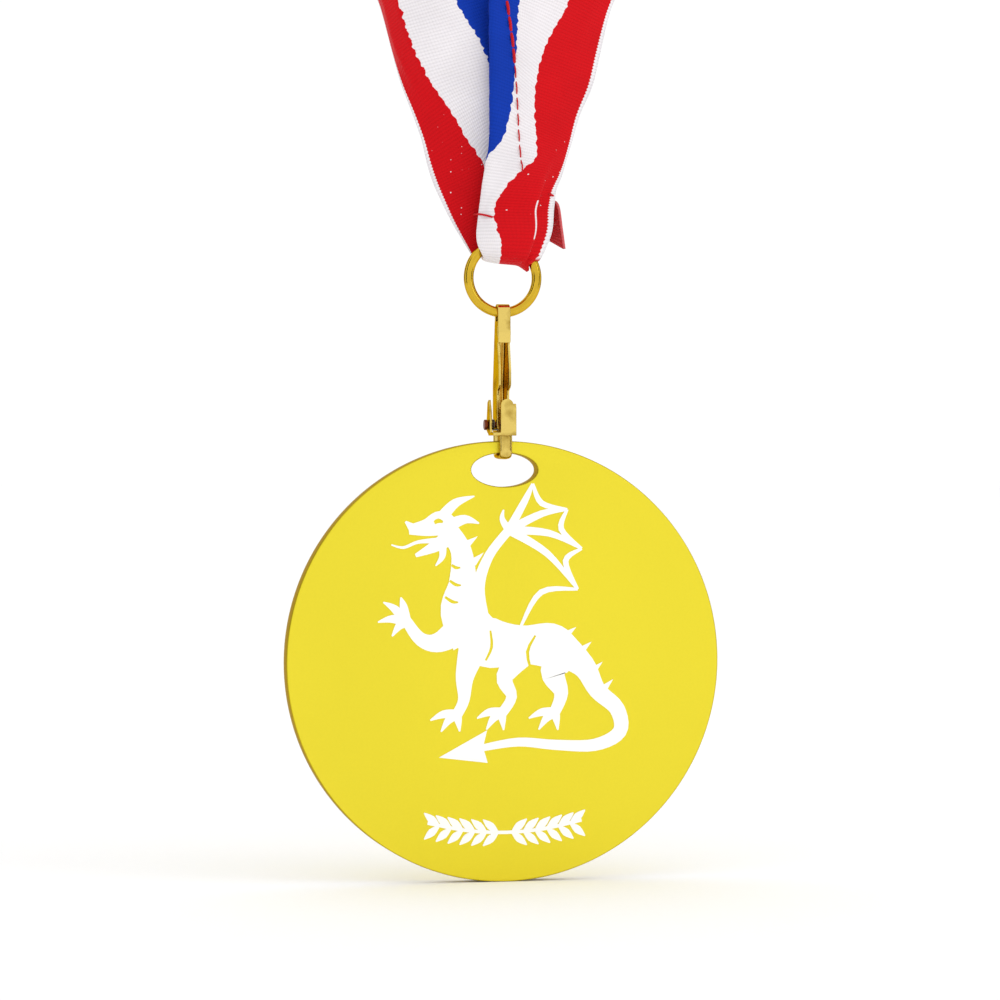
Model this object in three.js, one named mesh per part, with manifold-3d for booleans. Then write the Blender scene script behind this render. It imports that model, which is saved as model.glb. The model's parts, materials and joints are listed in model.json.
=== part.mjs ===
// A round award medal on a printed neck ribbon. Millimetres, +Z up, the face of the medal looks
// towards -Y. The ribbon hangs as it does on a neck: two straight strands rise from the ring, wind
// round as half a turn of a helix each, and meet at the nape, where the origin is. Below hang a jump
// ring, a stamped snap hook with a sprung thumb gate, and a flat disc with an oval hole.

import * as THREE from 'three';
import * as BufferGeometryUtils from 'three/addons/utils/BufferGeometryUtils.js';
import Module from 'manifold-3d';

const wasm = await Module();
wasm.setup();

// ---------------------------------------------------------------- driving dimensions
// Heights are first measured from the disc's centre; the last lines move the origin to the nape.

const DISC = { radius: 32.5, thick: 3.0, chamfer: 0.25, holeHeight: 28.25, holeWidth: 10, holeTall: 5 };
const RING = { centre: 56.6, radius: 5.125, wire: 0.725 };
const RIBBON = {
  width: 25,
  thick: 0.5,
  lean: THREE.MathUtils.degToRad(17),
  strand: 232,
  gatherBottom: 64.5,
  gatherTop: 96,
  gatheredWidth: 9,
  gatheredThick: 0.9,
  tail: 7,
  tailSpread: 1.2,
  tailBend: 3,
  overlap: 0.75,
  spreadFrom: 130,
  spreadTo: 190,
};
const LOOP = { clearance: 0.5, halfAngle: THREE.MathUtils.degToRad(38) };
const SHEET = 0.38;
const HOOK = { width: 1.9, back: 2.8, kinkHeight: 41, foot: 33.4 };
const EYE = { clearance: 0.13, tongueEnd: 47.0, backLeg: 2 };
const CHEEK = {
  top: 50.1,
  inset: 0.1,
  foot: 33.9,
  nose: { front: -1.7, top: 43.0, bottom: 40.6 },
  throat: { front: -0.3, top: 39.0, bottom: 35.2 },
  boss: 1.0,
};
const BAR = { thick: 0.9, width: 1.85, top: 36, tip: 33.7, sag: 0.6, bendRadius: 0.4 };
const PIVOT = { y: 0.6, z: 34.9, shank: 0.45, play: 0.06, reach: 3 };
const GATE = {
  face: -2.95,
  bottom: 33.3,
  top: 38.7,
  bridgeTop: 34.2,
  earOut: -2.1,
  earIn: -1.75,
  wallIn: 1.02,
  wallOut: 1.38,
  wallTop: 37.9,
  shoulder: { y: -1.2, z: 37.6 },
  heel: { y: -0.4, z: 34.0 },
  lip: 0.4,
  boss: 1.0,
  corner: 1.2,
};
const RIVET = {
  gap: 0.08,
  leftHead: { radius: 0.78, thick: 0.42 },
  rightHead: { radius: 0.66, thick: 0.28 },
};
const SPRING = { radius: 0.72, wire: 0.11, turns: 2.25, left: -1.62, right: -1.1, upLeg: 2.4, frontLeg: 2.6 };
const SEAM = {
  line: [[2.35, 73.2], [2.1, 81], [1.5, 90], [0.4, 98], [0.3, 103]],
  halfWidth: 0.18,
  halfThick: 0.14,
  lift: 0.2,
};
const BINDING = { halfWide: 6.6, halfDeep: 4.7, y: 0.4, z: 66.2, wrap: 0.05, rise: 0.28 };
const INK = 0.15;

const FRONT = -DISC.thick / 2;
const WIRE_TOP = RING.centre + RING.radius;
const WIRE_BOTTOM = RING.centre - RING.radius;

// ---------------------------------------------------------------- finishes

function finish(color, roughness, metalness) {
  return { color, roughness, metalness };
}

const GOLD_DISC = finish('#ecd93c', 0.38, 0.9);
const GOLD_PLATE = finish('#c9a422', 0.22, 1.0);
const COPPER = finish('#7a3f1c', 0.35, 1.0);
const SPRING_STEEL = finish('#8f8a7c', 0.3, 1.0);
const WHITE_INK = finish('#fbfbf8', 0.5, 0.0);
const RIBBON_CLOTH = finish('#d8101c', 0.75, 0.0);
const RED_THREAD = finish('#c8141c', 0.7, 0.0);

// ---------------------------------------------------------------- solids

function solidOf(geometry) {
  const bare = geometry.clone();
  bare.deleteAttribute('normal');
  bare.deleteAttribute('uv');
  const merged = BufferGeometryUtils.mergeVertices(bare, 1e-5);
  return new wasm.Manifold(new wasm.Mesh({
    numProp: 3,
    vertProperties: new Float32Array(merged.attributes.position.array),
    triVerts: new Uint32Array(merged.index.array),
  }));
}

function geometryOf(solid) {
  const { vertProperties, triVerts } = solid.getMesh();
  const geometry = new THREE.BufferGeometry();
  geometry.setAttribute('position', new THREE.BufferAttribute(vertProperties, 3));
  geometry.setIndex(new THREE.BufferAttribute(triVerts, 1));
  return geometry;
}

function join(geometries) {
  return geometryOf(geometries.map(solidOf).reduce((whole, next) => whole.add(next)));
}

function cut(geometry, tools) {
  return geometryOf(tools.map(solidOf).reduce((whole, tool) => whole.subtract(tool), solidOf(geometry)));
}

// A plate drawn in the XZ plane, as seen from the front, from one depth to another.
function frontPlate(shape, yFront, yBack, curveSegments = 12) {
  const geometry = new THREE.ExtrudeGeometry(shape, {
    depth: yBack - yFront,
    bevelEnabled: false,
    curveSegments,
  });
  geometry.rotateX(Math.PI / 2);
  geometry.translate(0, yBack, 0);
  return geometry;
}

// A plate drawn in the YZ plane, as seen from the right, from one side to the other.
function sidePlate(shape, xLow, xHigh, curveSegments = 12) {
  const geometry = new THREE.ExtrudeGeometry(shape, {
    depth: xHigh - xLow,
    bevelEnabled: false,
    curveSegments,
  });
  geometry.applyMatrix4(new THREE.Matrix4().set(
    0, 0, 1, xLow,
    1, 0, 0, 0,
    0, 1, 0, 0,
    0, 0, 0, 1,
  ));
  return geometry;
}

// A round bar along X.
function crossPin(radius, xLow, xHigh, y, z, sides = 20) {
  const geometry = new THREE.CylinderGeometry(radius, radius, xHigh - xLow, sides);
  geometry.rotateZ(Math.PI / 2);
  geometry.translate((xLow + xHigh) / 2, y, z);
  return geometry;
}

function ovalShape(halfWide, halfTall, x = 0, y = 0) {
  const shape = new THREE.Shape();
  shape.absellipse(x, y, halfWide, halfTall, 0, Math.PI * 2, false, 0);
  return shape;
}

// ---------------------------------------------------------------- medal disc

function discGeometry() {
  const half = DISC.thick / 2;
  const flat = DISC.radius - DISC.chamfer;
  const wall = half - DISC.chamfer;
  const edge = [[flat, -half], [DISC.radius, -wall], [DISC.radius, wall], [flat, half]];
  const profile = [[0, -half], ...edge, [0, half]];
  const blank = new THREE.LatheGeometry(profile.map(([r, y]) => new THREE.Vector2(r, y)), 128);
  const holeEdge = ovalShape(DISC.holeWidth / 2, DISC.holeTall / 2, 0, DISC.holeHeight);
  return cut(blank, [frontPlate(holeEdge, -DISC.thick, DISC.thick, 24)]);
}

// ---------------------------------------------------------------- printed motifs
// The print is laid down in tapered strokes. Each stroke is a smooth line through a few points,
// given as [x, z, width], and the strokes run together into one silhouette.

function strokePlate(points, yFront, yBack, stepsEach = 5) {
  const steps = stepsEach * (points.length - 1);
  const line = new THREE.SplineCurve(points.map(([x, z]) => new THREE.Vector2(x, z)));
  const swell = new THREE.SplineCurve(points.map(([, , width], i) => new THREE.Vector2(i, width)));
  const geometry = new THREE.BoxGeometry(1, 1, 1, 1, 1, steps);
  const position = geometry.attributes.position;
  for (let n = 0; n < position.count; n++) {
    const t = position.getZ(n) + 0.5;
    const centre = line.getPoint(t);
    const along = line.getTangent(t);
    const offset = position.getX(n) * Math.max(swell.getPoint(t).y, 0.16);
    const y = THREE.MathUtils.lerp(yFront, yBack, position.getY(n) + 0.5);
    position.setXYZ(n, centre.x + along.y * offset, y, centre.y - along.x * offset);
  }
  return geometry;
}

function polygonShape(points) {
  return new THREE.Shape(points.map(([x, z]) => new THREE.Vector2(x, z)));
}

// A foot: claws fan out from one point, each a short tapered stroke that hooks downwards.
function clawStrokes([x, z], tips) {
  return tips.map(([tipX, tipZ]) => [
    [x, z, 1.5],
    [(x + tipX) / 2, (z + tipZ) / 2 + 0.45, 1.15],
    [tipX, tipZ, 0.2],
  ]);
}

const DRAGON_STROKES = [
  // neck, body and tail
  [[-8.8, 19.8, 2.8], [-6.6, 16.4, 3.1], [-6.3, 11.8, 4.2], [-6.6, 7.6, 6.2], [-4.4, 3.6, 7.6]],
  [[-6.4, 5.6, 5.2], [-2.6, 2.9, 7.4], [2.4, 2.5, 5.6], [6.8, 2.3, 6.6], [9.2, 1.2, 5.2]],
  [[8.0, 2.2, 5.6], [11.9, -0.8, 3.5], [14.0, -4.4, 2.6], [17.0, -7.2, 2.3], [17.4, -10.6, 2.1],
    [13.6, -12.5, 1.8], [7.6, -12.4, 1.5], [2.0, -11.9, 1.3], [-3.6, -12.7, 1.0]],
  // head: skull and snout, lower jaw, tongue, horn, ear
  [[-7.9, 19.8, 2.6], [-9.6, 20.4, 3.7], [-11.8, 19.8, 2.5], [-14.4, 19.5, 1.4]],
  [[-8.6, 18.2, 2.4], [-10.8, 16.9, 1.6], [-13.4, 15.7, 0.5]],
  [[-10.0, 17.9, 0.9], [-13.0, 17.7, 0.5], [-15.2, 16.9, 0.4], [-17.0, 17.3, 0.2]],
  [[-14.0, 19.9, 1.2], [-14.9, 20.7, 0.3]],
  [[-9.4, 21.4, 1.7], [-7.4, 23.4, 1.3], [-4.6, 24.4, 0.2]],
  [[-8.2, 20.2, 1.8], [-6.0, 21.0, 1.3], [-3.9, 20.4, 0.2]],
  [[-9.4, 17.6, 1.2], [-9.4, 15.6, 0.9], [-10.4, 14.2, 0.2]],
  // raised foreleg
  [[-6.0, 5.4, 4.6], [-9.8, 3.0, 3.0], [-12.6, 3.4, 2.0], [-14.8, 6.2, 1.5]],
  ...clawStrokes([-14.8, 6.0], [[-15.6, 9.6], [-18.2, 8.9], [-19.0, 6.0], [-16.9, 3.9]]),
  // standing foreleg
  [[-4.6, 2.6, 4.6], [-6.0, -2.0, 2.8], [-6.2, -5.6, 1.7], [-7.4, -8.0, 1.6]],
  ...clawStrokes([-7.3, -7.7], [[-11.2, -8.5], [-9.6, -10.2], [-6.8, -10.2]]),
  // far hind leg
  [[3.2, 1.6, 4.0], [0.0, -2.2, 2.6], [1.0, -5.2, 1.6], [-0.6, -7.8, 1.5]],
  ...clawStrokes([-0.6, -7.5], [[-4.2, -8.3], [-2.8, -10.0], [-0.2, -10.1]]),
  // near hind leg
  [[9.2, 1.6, 5.0], [7.3, -1.6, 3.8], [8.5, -4.8, 2.1], [7.4, -7.8, 1.6]],
  ...clawStrokes([7.5, -7.6], [[3.6, -8.4], [5.1, -10.1], [8.0, -10.2]]),
];

const WING_WRIST = [0.6, 19.4];
const WING_TIPS = [[4.2, 26.2], [9.4, 22.4], [11.6, 16.6], [11.0, 10.6]];

// The wing: an arm up to the wrist, a bowed finger to each tip, and a scalloped hem between tips.
function wingStrokes() {
  const [wristX, wristZ] = WING_WRIST;
  const arm = [[-3.6, 6.0, 2.6], [-4.0, 11.0, 1.9], [-2.4, 15.6, 1.4], [wristX, wristZ, 1.3]];
  const fingers = WING_TIPS.map(([x, z]) => [
    [wristX, wristZ, 1.3],
    [(wristX + x) / 2 + 0.6, (wristZ + z) / 2 + 0.9, 1.0],
    [x, z, 0.4],
  ]);
  const stops = [...WING_TIPS, [2.4, 5.2]];
  const hems = stops.slice(1).map(([x, z], i) => {
    const [fromX, fromZ] = stops[i];
    const middle = [(fromX + x) / 2 * 0.8 + wristX * 0.2, (fromZ + z) / 2 * 0.8 + wristZ * 0.2];
    return [[fromX, fromZ, 0.4], [...middle, 0.85], [x, z, 0.4]];
  });
  const thumb = [[wristX, wristZ, 1.2], [-0.4, 21.0, 0.8], [-0.2, 22.4, 0.2]];
  return [arm, ...fingers, ...hems, thumb];
}

const CREST = [[-5.1, 18.4, 0.9], [-4.2, 15.6, 0.5], [9.8, 4.9, 0.9], [12.1, 2.5, 0.7], [13.8, -0.6, 0.6],
  [15.4, -3.4, 0.4]];

// Crest spines: small leaning triangles along the back of the neck and the root of the tail.
function crestShapes() {
  return CREST.map(([x, z, lean]) => polygonShape([
    [x - 1.7, z - 0.9], [x - 0.2, z - 1.4], [x + 1.0, z + 1.0 - lean],
  ]));
}

const DRAGON_CUTS = [
  [[-10.6, 20.5, 0.5], [-10.0, 20.8, 0.7], [-9.3, 20.6, 0.3]],
  [[4.6, 3.8, 0.3], [3.4, 1.4, 0.5], [4.0, -1.6, 0.3]],
  [[-2.2, 4.6, 0.3], [-2.0, 2.2, 0.45], [-2.9, 0.2, 0.3]],
  [[-8.3, 12.0, 0.35], [-7.4, 11.4, 0.5], [-6.6, 11.3, 0.2]],
  [[-9.0, 9.6, 0.35], [-7.9, 8.9, 0.5], [-7.0, 8.8, 0.2]],
  [[-8.0, 14.3, 0.35], [-7.4, 13.9, 0.5], [-6.7, 13.9, 0.2]],
];

function dragonGeometry() {
  const spade = polygonShape([[-9.9, -14.0], [-2.7, -10.1], [-3.3, -12.6], [-2.6, -14.9]]);
  const strokes = [...DRAGON_STROKES, ...wingStrokes()];
  const plates = strokes.map((points) => strokePlate(points, FRONT - INK, FRONT));
  const spikes = [...crestShapes(), spade].map((shape) => frontPlate(shape, FRONT - INK, FRONT));
  const cutters = DRAGON_CUTS.map((points) => strokePlate(points, FRONT - 2 * INK, FRONT + INK, 3));
  return cut(join([...plates, ...spikes]), cutters);
}

// Two laurel sprigs that meet in the middle, under the dragon.
const SPRIG = { halfLength: 11.6, height: -25.2, rise: 1.6, leaves: 6, leafLong: 3.1, leafWide: 1.15 };

function sprigGeometry() {
  const { halfLength, height, rise, leaves, leafLong, leafWide } = SPRIG;
  const stemHeight = (x) => height + rise * (x / halfLength) ** 2;
  const stem = [-1, -0.5, 0, 0.5, 1].map((u) => [u * halfLength, stemHeight(u * halfLength), 0.5]);
  const strokes = [stem];
  for (const side of [-1, 1]) {
    for (let i = 0; i < leaves; i++) {
      const rootX = side * (halfLength - 1.0) * (i + 0.6) / leaves;
      for (const up of [-1, 1]) {
        const rootZ = stemHeight(rootX);
        const tip = [rootX + side * leafLong * 0.72, rootZ + up * leafLong * 0.62];
        const middle = [(rootX + tip[0]) / 2, (rootZ + tip[1]) / 2];
        strokes.push([[rootX, rootZ, 0.3], [...middle, leafWide], [...tip, 0.16]]);
      }
    }
  }
  return join(strokes.map((points) => strokePlate(points, FRONT - INK, FRONT, 3)));
}

// ---------------------------------------------------------------- jump ring

function ringGeometry() {
  const geometry = new THREE.TorusGeometry(RING.radius, RING.wire, 12, 48);
  geometry.rotateX(Math.PI / 2);
  geometry.translate(0, 0, RING.centre);
  return geometry;
}

// ---------------------------------------------------------------- snap hook
// Seen from the side: the sheet wraps over the ring, runs down as a channel that deepens towards
// the gate, and goes on as a flattened bar that passes behind the disc's edge, through the hole
// and up again in front, where the gate's lower end closes on it.

const EYE_INNER = RING.wire + EYE.clearance;
const EYE_OUTER = EYE_INNER + SHEET;
const BAR_CENTRE = HOOK.back - BAR.thick / 2;
const BAR_LOW = DISC.holeHeight + DISC.holeTall / 2 - BAR.sag;

function eyeGeometry() {
  const legEnd = WIRE_BOTTOM - EYE.backLeg;
  const shape = new THREE.Shape();
  shape.moveTo(-EYE_OUTER, EYE.tongueEnd);
  shape.lineTo(-EYE_INNER, EYE.tongueEnd);
  shape.lineTo(-EYE_INNER, WIRE_BOTTOM);
  shape.absarc(0, WIRE_BOTTOM, EYE_INNER, Math.PI, 0, true);
  shape.lineTo(EYE_INNER, legEnd);
  shape.lineTo(EYE_OUTER, legEnd);
  shape.lineTo(EYE_OUTER, WIRE_BOTTOM);
  shape.absarc(0, WIRE_BOTTOM, EYE_OUTER, 0, Math.PI, false);
  return sidePlate(shape, -HOOK.width / 2, HOOK.width / 2, 10);
}

// The channel's back leans away from the eye as far as the kink, then runs straight down.
function spineShape() {
  const outer = HOOK.back - CHEEK.inset;
  const inner = outer - SHEET;
  const top = WIRE_BOTTOM - EYE.backLeg / 2;
  return polygonShape([
    [EYE_INNER, top],
    [EYE_OUTER, top],
    [outer, HOOK.kinkHeight],
    [outer, HOOK.foot],
    [inner, HOOK.foot],
    [inner, HOOK.kinkHeight],
  ]);
}

// A side of the channel: under the tongue it comes forward to the nose, then draws back to the
// throat that leaves room for the gate, and ends round the rivet.
function cheekShape() {
  const { top, inset, foot, nose, throat, boss } = CHEEK;
  const back = HOOK.back - 2 * inset;
  const front = inset - EYE_INNER;
  const shape = new THREE.Shape();
  shape.moveTo(EYE_OUTER - inset, top);
  shape.lineTo(front, top);
  shape.lineTo(front, EYE.tongueEnd);
  shape.lineTo(nose.front, nose.top);
  shape.lineTo(nose.front, nose.bottom);
  shape.quadraticCurveTo(throat.front, nose.bottom, throat.front, throat.top);
  shape.lineTo(throat.front - inset, throat.bottom);
  shape.absarc(PIVOT.y, PIVOT.z, boss, Math.PI * 0.95, Math.PI * 1.5, false);
  shape.lineTo(back, foot);
  shape.lineTo(back, HOOK.kinkHeight);
  return shape;
}

function barGeometry() {
  const turn = BAR.bendRadius + BAR.thick / 2;
  const path = new THREE.CurvePath();
  const at = (y, z) => new THREE.Vector3(0, y, z);
  const corner = (y, z, side) => new THREE.QuadraticBezierCurve3(
    at(side > 0 ? y : y + turn, side > 0 ? z + turn : z),
    at(y, z),
    at(side > 0 ? y - turn : y, side > 0 ? z : z + turn),
  );
  path.add(new THREE.LineCurve3(at(BAR_CENTRE, BAR.top), at(BAR_CENTRE, BAR_LOW + turn)));
  path.add(corner(BAR_CENTRE, BAR_LOW, 1));
  path.add(new THREE.LineCurve3(at(BAR_CENTRE - turn, BAR_LOW), at(-BAR_CENTRE + turn, BAR_LOW)));
  path.add(corner(-BAR_CENTRE, BAR_LOW, -1));
  path.add(new THREE.LineCurve3(at(-BAR_CENTRE, BAR_LOW + turn), at(-BAR_CENTRE, BAR.tip)));
  return new THREE.ExtrudeGeometry(ovalShape(BAR.thick / 2, BAR.width / 2), {
    steps: 40,
    curveSegments: 8,
    bevelEnabled: false,
    extrudePath: path,
  });
}

// The hole for the rivet, through everything it passes.
function pivotHole() {
  return crossPin(PIVOT.shank + PIVOT.play, -PIVOT.reach, PIVOT.reach, PIVOT.y, PIVOT.z);
}

function hookBodyGeometry() {
  const half = HOOK.width / 2;
  const plates = [
    eyeGeometry(),
    sidePlate(spineShape(), -half, half),
    sidePlate(cheekShape(), -half, -half + SHEET),
    sidePlate(cheekShape(), half - SHEET, half),
    barGeometry(),
  ];
  return cut(join(plates), [pivotHole()]);
}

// The gate is one folded piece: a face in front of the bar's tip, a wall on the right, and on the
// left an ear that stands off to make room for the spring, bridged to the face at its foot.
function gateWallShape(yFront) {
  const { bottom, lip, heel, boss, shoulder, wallTop } = GATE;
  const shape = new THREE.Shape();
  shape.moveTo(yFront, bottom);
  shape.lineTo(yFront + SHEET + lip, bottom);
  shape.lineTo(heel.y, heel.z);
  shape.absarc(PIVOT.y, PIVOT.z, boss, Math.PI * 1.2, Math.PI * 2.5, false);
  shape.lineTo(shoulder.y, shoulder.z);
  shape.lineTo(yFront, wallTop);
  return shape;
}

function gateGeometry() {
  const { bottom, top, bridgeTop, earOut, earIn, wallIn, wallOut, corner } = GATE;
  const front = GATE.face - SHEET;
  const half = HOOK.width / 2;
  const face = new THREE.Shape();
  face.moveTo(-half, bottom);
  face.lineTo(wallOut, bottom);
  face.lineTo(wallOut, top - corner);
  face.lineTo(half, top - half);
  face.absarc(0, top - half, half, 0, Math.PI, false);
  const bridge = polygonShape([[earOut, bottom], [0, bottom], [0, bridgeTop], [earOut, bridgeTop]]);
  const folded = join([
    frontPlate(face, front, GATE.face, 8),
    frontPlate(bridge, front, GATE.face),
    sidePlate(gateWallShape(front), wallIn, wallOut, 8),
    sidePlate(gateWallShape(front), earOut, earIn, 8),
  ]);
  return cut(folded, [pivotHole()]);
}

// The shank runs a little way into both heads, so that the three cylinders join into one pin.
function rivetGeometry() {
  const { leftHead, rightHead, gap } = RIVET;
  const left = GATE.earOut - gap;
  const right = GATE.wallOut + gap;
  return join([
    crossPin(PIVOT.shank, left - leftHead.thick / 2, right + rightHead.thick / 2, PIVOT.y, PIVOT.z),
    crossPin(leftHead.radius, left - leftHead.thick, left, PIVOT.y, PIVOT.z),
    crossPin(rightHead.radius, right, right + rightHead.thick, PIVOT.y, PIVOT.z),
  ]);
}

// A torsion spring between the ear and the channel: one leg up the channel, one towards the face.
function springGeometry() {
  const { radius, wire, turns, left, right, upLeg, frontLeg } = SPRING;
  const points = [new THREE.Vector3(left, PIVOT.y + radius, PIVOT.z + upLeg)];
  const steps = 36;
  for (let i = 0; i <= steps; i++) {
    const turn = 2 * Math.PI * turns * i / steps;
    points.push(new THREE.Vector3(
      THREE.MathUtils.lerp(left, right, i / steps),
      PIVOT.y + radius * Math.cos(turn),
      PIVOT.z - radius * Math.sin(turn),
    ));
  }
  points.push(new THREE.Vector3(right, PIVOT.y - frontLeg, PIVOT.z - radius));
  return new THREE.ExtrudeGeometry(ovalShape(wire, wire), {
    steps: 96,
    curveSegments: 3,
    bevelEnabled: false,
    extrudePath: new THREE.CatmullRomCurve3(points, false, 'centripetal'),
  });
}

// ---------------------------------------------------------------- neck ribbon
// A flat ribbon lies along a line whose curvature always points square to the cloth. A straight
// strand leads into half a turn of a helix, whose tangent swings from the strand's direction,
// through +Y, to straight across at the nape.

const UP_AND_OUT = new THREE.Vector3(Math.sin(RIBBON.lean), 0, Math.cos(RIBBON.lean));
const ACROSS = new THREE.Vector3(-1, 0, 0);
const HELIX_AXIS = UP_AND_OUT.clone().add(ACROSS).multiplyScalar(0.5);
const HELIX_SWING = UP_AND_OUT.clone().sub(ACROSS).multiplyScalar(0.5);
const NECK = RIBBON.strand * UP_AND_OUT.x / -HELIX_AXIS.x;
const HALF_RIBBON = RIBBON.strand + NECK;

// Centre line, direction across the cloth and outward normal on the right-hand side, at a distance
// along it from the foot of the strand.
function strapFrame(distance) {
  const foot = new THREE.Vector3(0, 0, RIBBON.gatherBottom);
  const straight = Math.min(distance, RIBBON.strand);
  const centre = foot.addScaledVector(UP_AND_OUT, straight);
  const turn = Math.PI * Math.max(distance - RIBBON.strand, 0) / NECK;
  const reach = NECK / Math.PI;
  const swing = HELIX_SWING.length();
  centre.addScaledVector(HELIX_AXIS, reach * turn);
  centre.addScaledVector(HELIX_SWING, reach * Math.sin(turn));
  centre.y += reach * swing * (1 - Math.cos(turn));
  const along = HELIX_AXIS.clone().addScaledVector(HELIX_SWING, Math.cos(turn));
  along.y += swing * Math.sin(turn);
  const inward = HELIX_SWING.clone().multiplyScalar(-Math.sin(turn) / swing);
  inward.y += Math.cos(turn);
  const across = new THREE.Vector3().crossVectors(along.normalize(), inward).normalize();
  return { centre, across, outward: inward.negate() };
}

const NAPE = strapFrame(HALF_RIBBON).centre;
const LOOP_RADIUS = RING.wire + LOOP.clearance + RIBBON.gatheredThick / 2;

// How far the cloth is gathered at a height: 1 at the ring, 0 where it lies at its full width.
function gather(height) {
  return 1 - THREE.MathUtils.smoothstep(height, RIBBON.gatherBottom, RIBBON.gatherTop);
}

// One side of the ribbon, from the nape to the foot of the strand. The left side is its mirror
// image, and runs behind the right side where the two cross.
function strandPoint(distance, v, w, side) {
  const { centre, across, outward } = strapFrame(distance);
  const gathered = gather(centre.z);
  const width = THREE.MathUtils.lerp(RIBBON.width, RIBBON.gatheredWidth, gathered);
  const thick = THREE.MathUtils.lerp(RIBBON.thick, RIBBON.gatheredThick, gathered);
  const point = centre.clone();
  point.x *= 1 - gathered;
  point.addScaledVector(across, v * width);
  point.addScaledVector(outward, w * thick);
  const crossing = 1 - THREE.MathUtils.smoothstep(centre.z, RIBBON.spreadFrom, RIBBON.spreadTo);
  const depth = THREE.MathUtils.lerp(RIBBON.overlap * crossing, LOOP_RADIUS, gathered);
  point.y -= side * depth;
  point.x *= side;
  return point;
}

// The loop under the ring's wire, from the foot of the front strand round to the tail behind.
// Across the cloth it follows the curve of the wire.
function loopPoint(angle, v, w) {
  const reach = LOOP_RADIUS + w * RIBBON.gatheredThick;
  const bend = -2 * v * LOOP.halfAngle;
  const out = RING.radius - reach * Math.sin(angle);
  const point = new THREE.Vector3(0, -reach * Math.cos(angle), RING.centre);
  point.x = out * Math.sin(bend);
  point.z += out * Math.cos(bend);
  return point;
}

// A long thin box is bent along the ribbon: its length runs from the tail behind the ring, round
// the loop, up the right strand, round the nape and down the left strand.
function ribbonGeometry() {
  const tailSteps = 3;
  const loopSteps = 10;
  const strandSteps = 34;
  const steps = tailSteps + loopSteps + 2 * strandSteps;
  const geometry = new THREE.BoxGeometry(1, 1, 1, steps, 4, 1);
  const position = geometry.attributes.position;
  const distanceAt = (i) => HALF_RIBBON * (1 - Math.cos(Math.PI * i / strandSteps)) / 2;
  const loopEnd = loopPoint(0, 0, 0).z;
  for (let n = 0; n < position.count; n++) {
    const step = Math.round((position.getX(n) + 0.5) * steps);
    const v = position.getY(n);
    const w = position.getZ(n);
    let point;
    if (step < tailSteps) {
      const rise = RIBBON.tail * (1 - step / tailSteps);
      const straight = Math.min(rise / RIBBON.tailBend, 1);
      point = loopPoint(Math.PI, v, w);
      point.x = THREE.MathUtils.lerp(point.x, -v * RIBBON.gatheredWidth, straight);
      point.z = THREE.MathUtils.lerp(point.z, loopEnd, straight) + rise;
      point.y += RIBBON.tailSpread * straight;
    } else if (step <= tailSteps + loopSteps) {
      point = loopPoint(Math.PI * (1 - (step - tailSteps) / loopSteps), v, w);
    } else if (step <= tailSteps + loopSteps + strandSteps) {
      point = strandPoint(distanceAt(step - tailSteps - loopSteps), v, w, 1);
    } else {
      point = strandPoint(distanceAt(steps - step), v, w, -1);
    }
    position.setXYZ(n, point.x, point.y, point.z);
  }
  return geometry;
}

// ---------------------------------------------------------------- stitching

// The seam that joins the crossed strands: a thread laid down the front of the right strand.
function seamGeometry() {
  const points = SEAM.line.map(([x, z]) => {
    const distance = (z - RIBBON.gatherBottom) / UP_AND_OUT.z;
    return new THREE.Vector3(x, strandPoint(distance, 0, 0.5, 1).y - SEAM.halfThick - SEAM.lift, z);
  });
  return new THREE.ExtrudeGeometry(ovalShape(SEAM.halfWidth, SEAM.halfThick), {
    steps: 12,
    curveSegments: 3,
    bevelEnabled: false,
    extrudePath: new THREE.CatmullRomCurve3(points),
  });
}

// The binding that closes the loop above the ring: turns of thread round the gathered cloth.
function bindingGeometry() {
  const section = [];
  for (let i = 0; i <= 8; i++) {
    const turn = 2 * Math.PI * i / 8;
    section.push(new THREE.Vector2(1 + BINDING.wrap * Math.cos(turn), BINDING.rise * Math.sin(turn)));
  }
  const geometry = new THREE.LatheGeometry(section, 40);
  geometry.rotateX(Math.PI / 2);
  geometry.scale(BINDING.halfWide, BINDING.halfDeep, 1);
  geometry.translate(0, BINDING.y, BINDING.z);
  return geometry;
}

// ---------------------------------------------------------------- assembly

const medal = new THREE.Group();
medal.position.copy(NAPE).negate();

function add(name, geometry, look) {
  const mesh = new THREE.Mesh(geometry, new THREE.MeshStandardMaterial(look));
  mesh.name = name;
  medal.add(mesh);
}

add('neck_ribbon', ribbonGeometry(), RIBBON_CLOTH);
add('seam_thread', seamGeometry(), RED_THREAD);
add('loop_binding', bindingGeometry(), RED_THREAD);
add('jump_ring', ringGeometry(), GOLD_PLATE);
add('hook_body', hookBodyGeometry(), GOLD_PLATE);
add('hook_gate', gateGeometry(), GOLD_PLATE);
add('hook_rivet', rivetGeometry(), COPPER);
add('gate_spring', springGeometry(), SPRING_STEEL);
add('medal_disc', discGeometry(), GOLD_DISC);
add('dragon_motif', dragonGeometry(), WHITE_INK);
add('sprig_motif', sprigGeometry(), WHITE_INK);

const group = new THREE.Group();
group.add(medal);

export default group;
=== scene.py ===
"""A round award medal on a printed neck ribbon, with its jump ring and snap hook, set on a pale floor.

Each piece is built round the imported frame. Sizes are in millimetres measured from the disc's centre, with
X to the right, -Y towards the viewer and +Z up, and mm() turns them to metres in the frame.
"""

import functools
import json
import math

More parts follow.
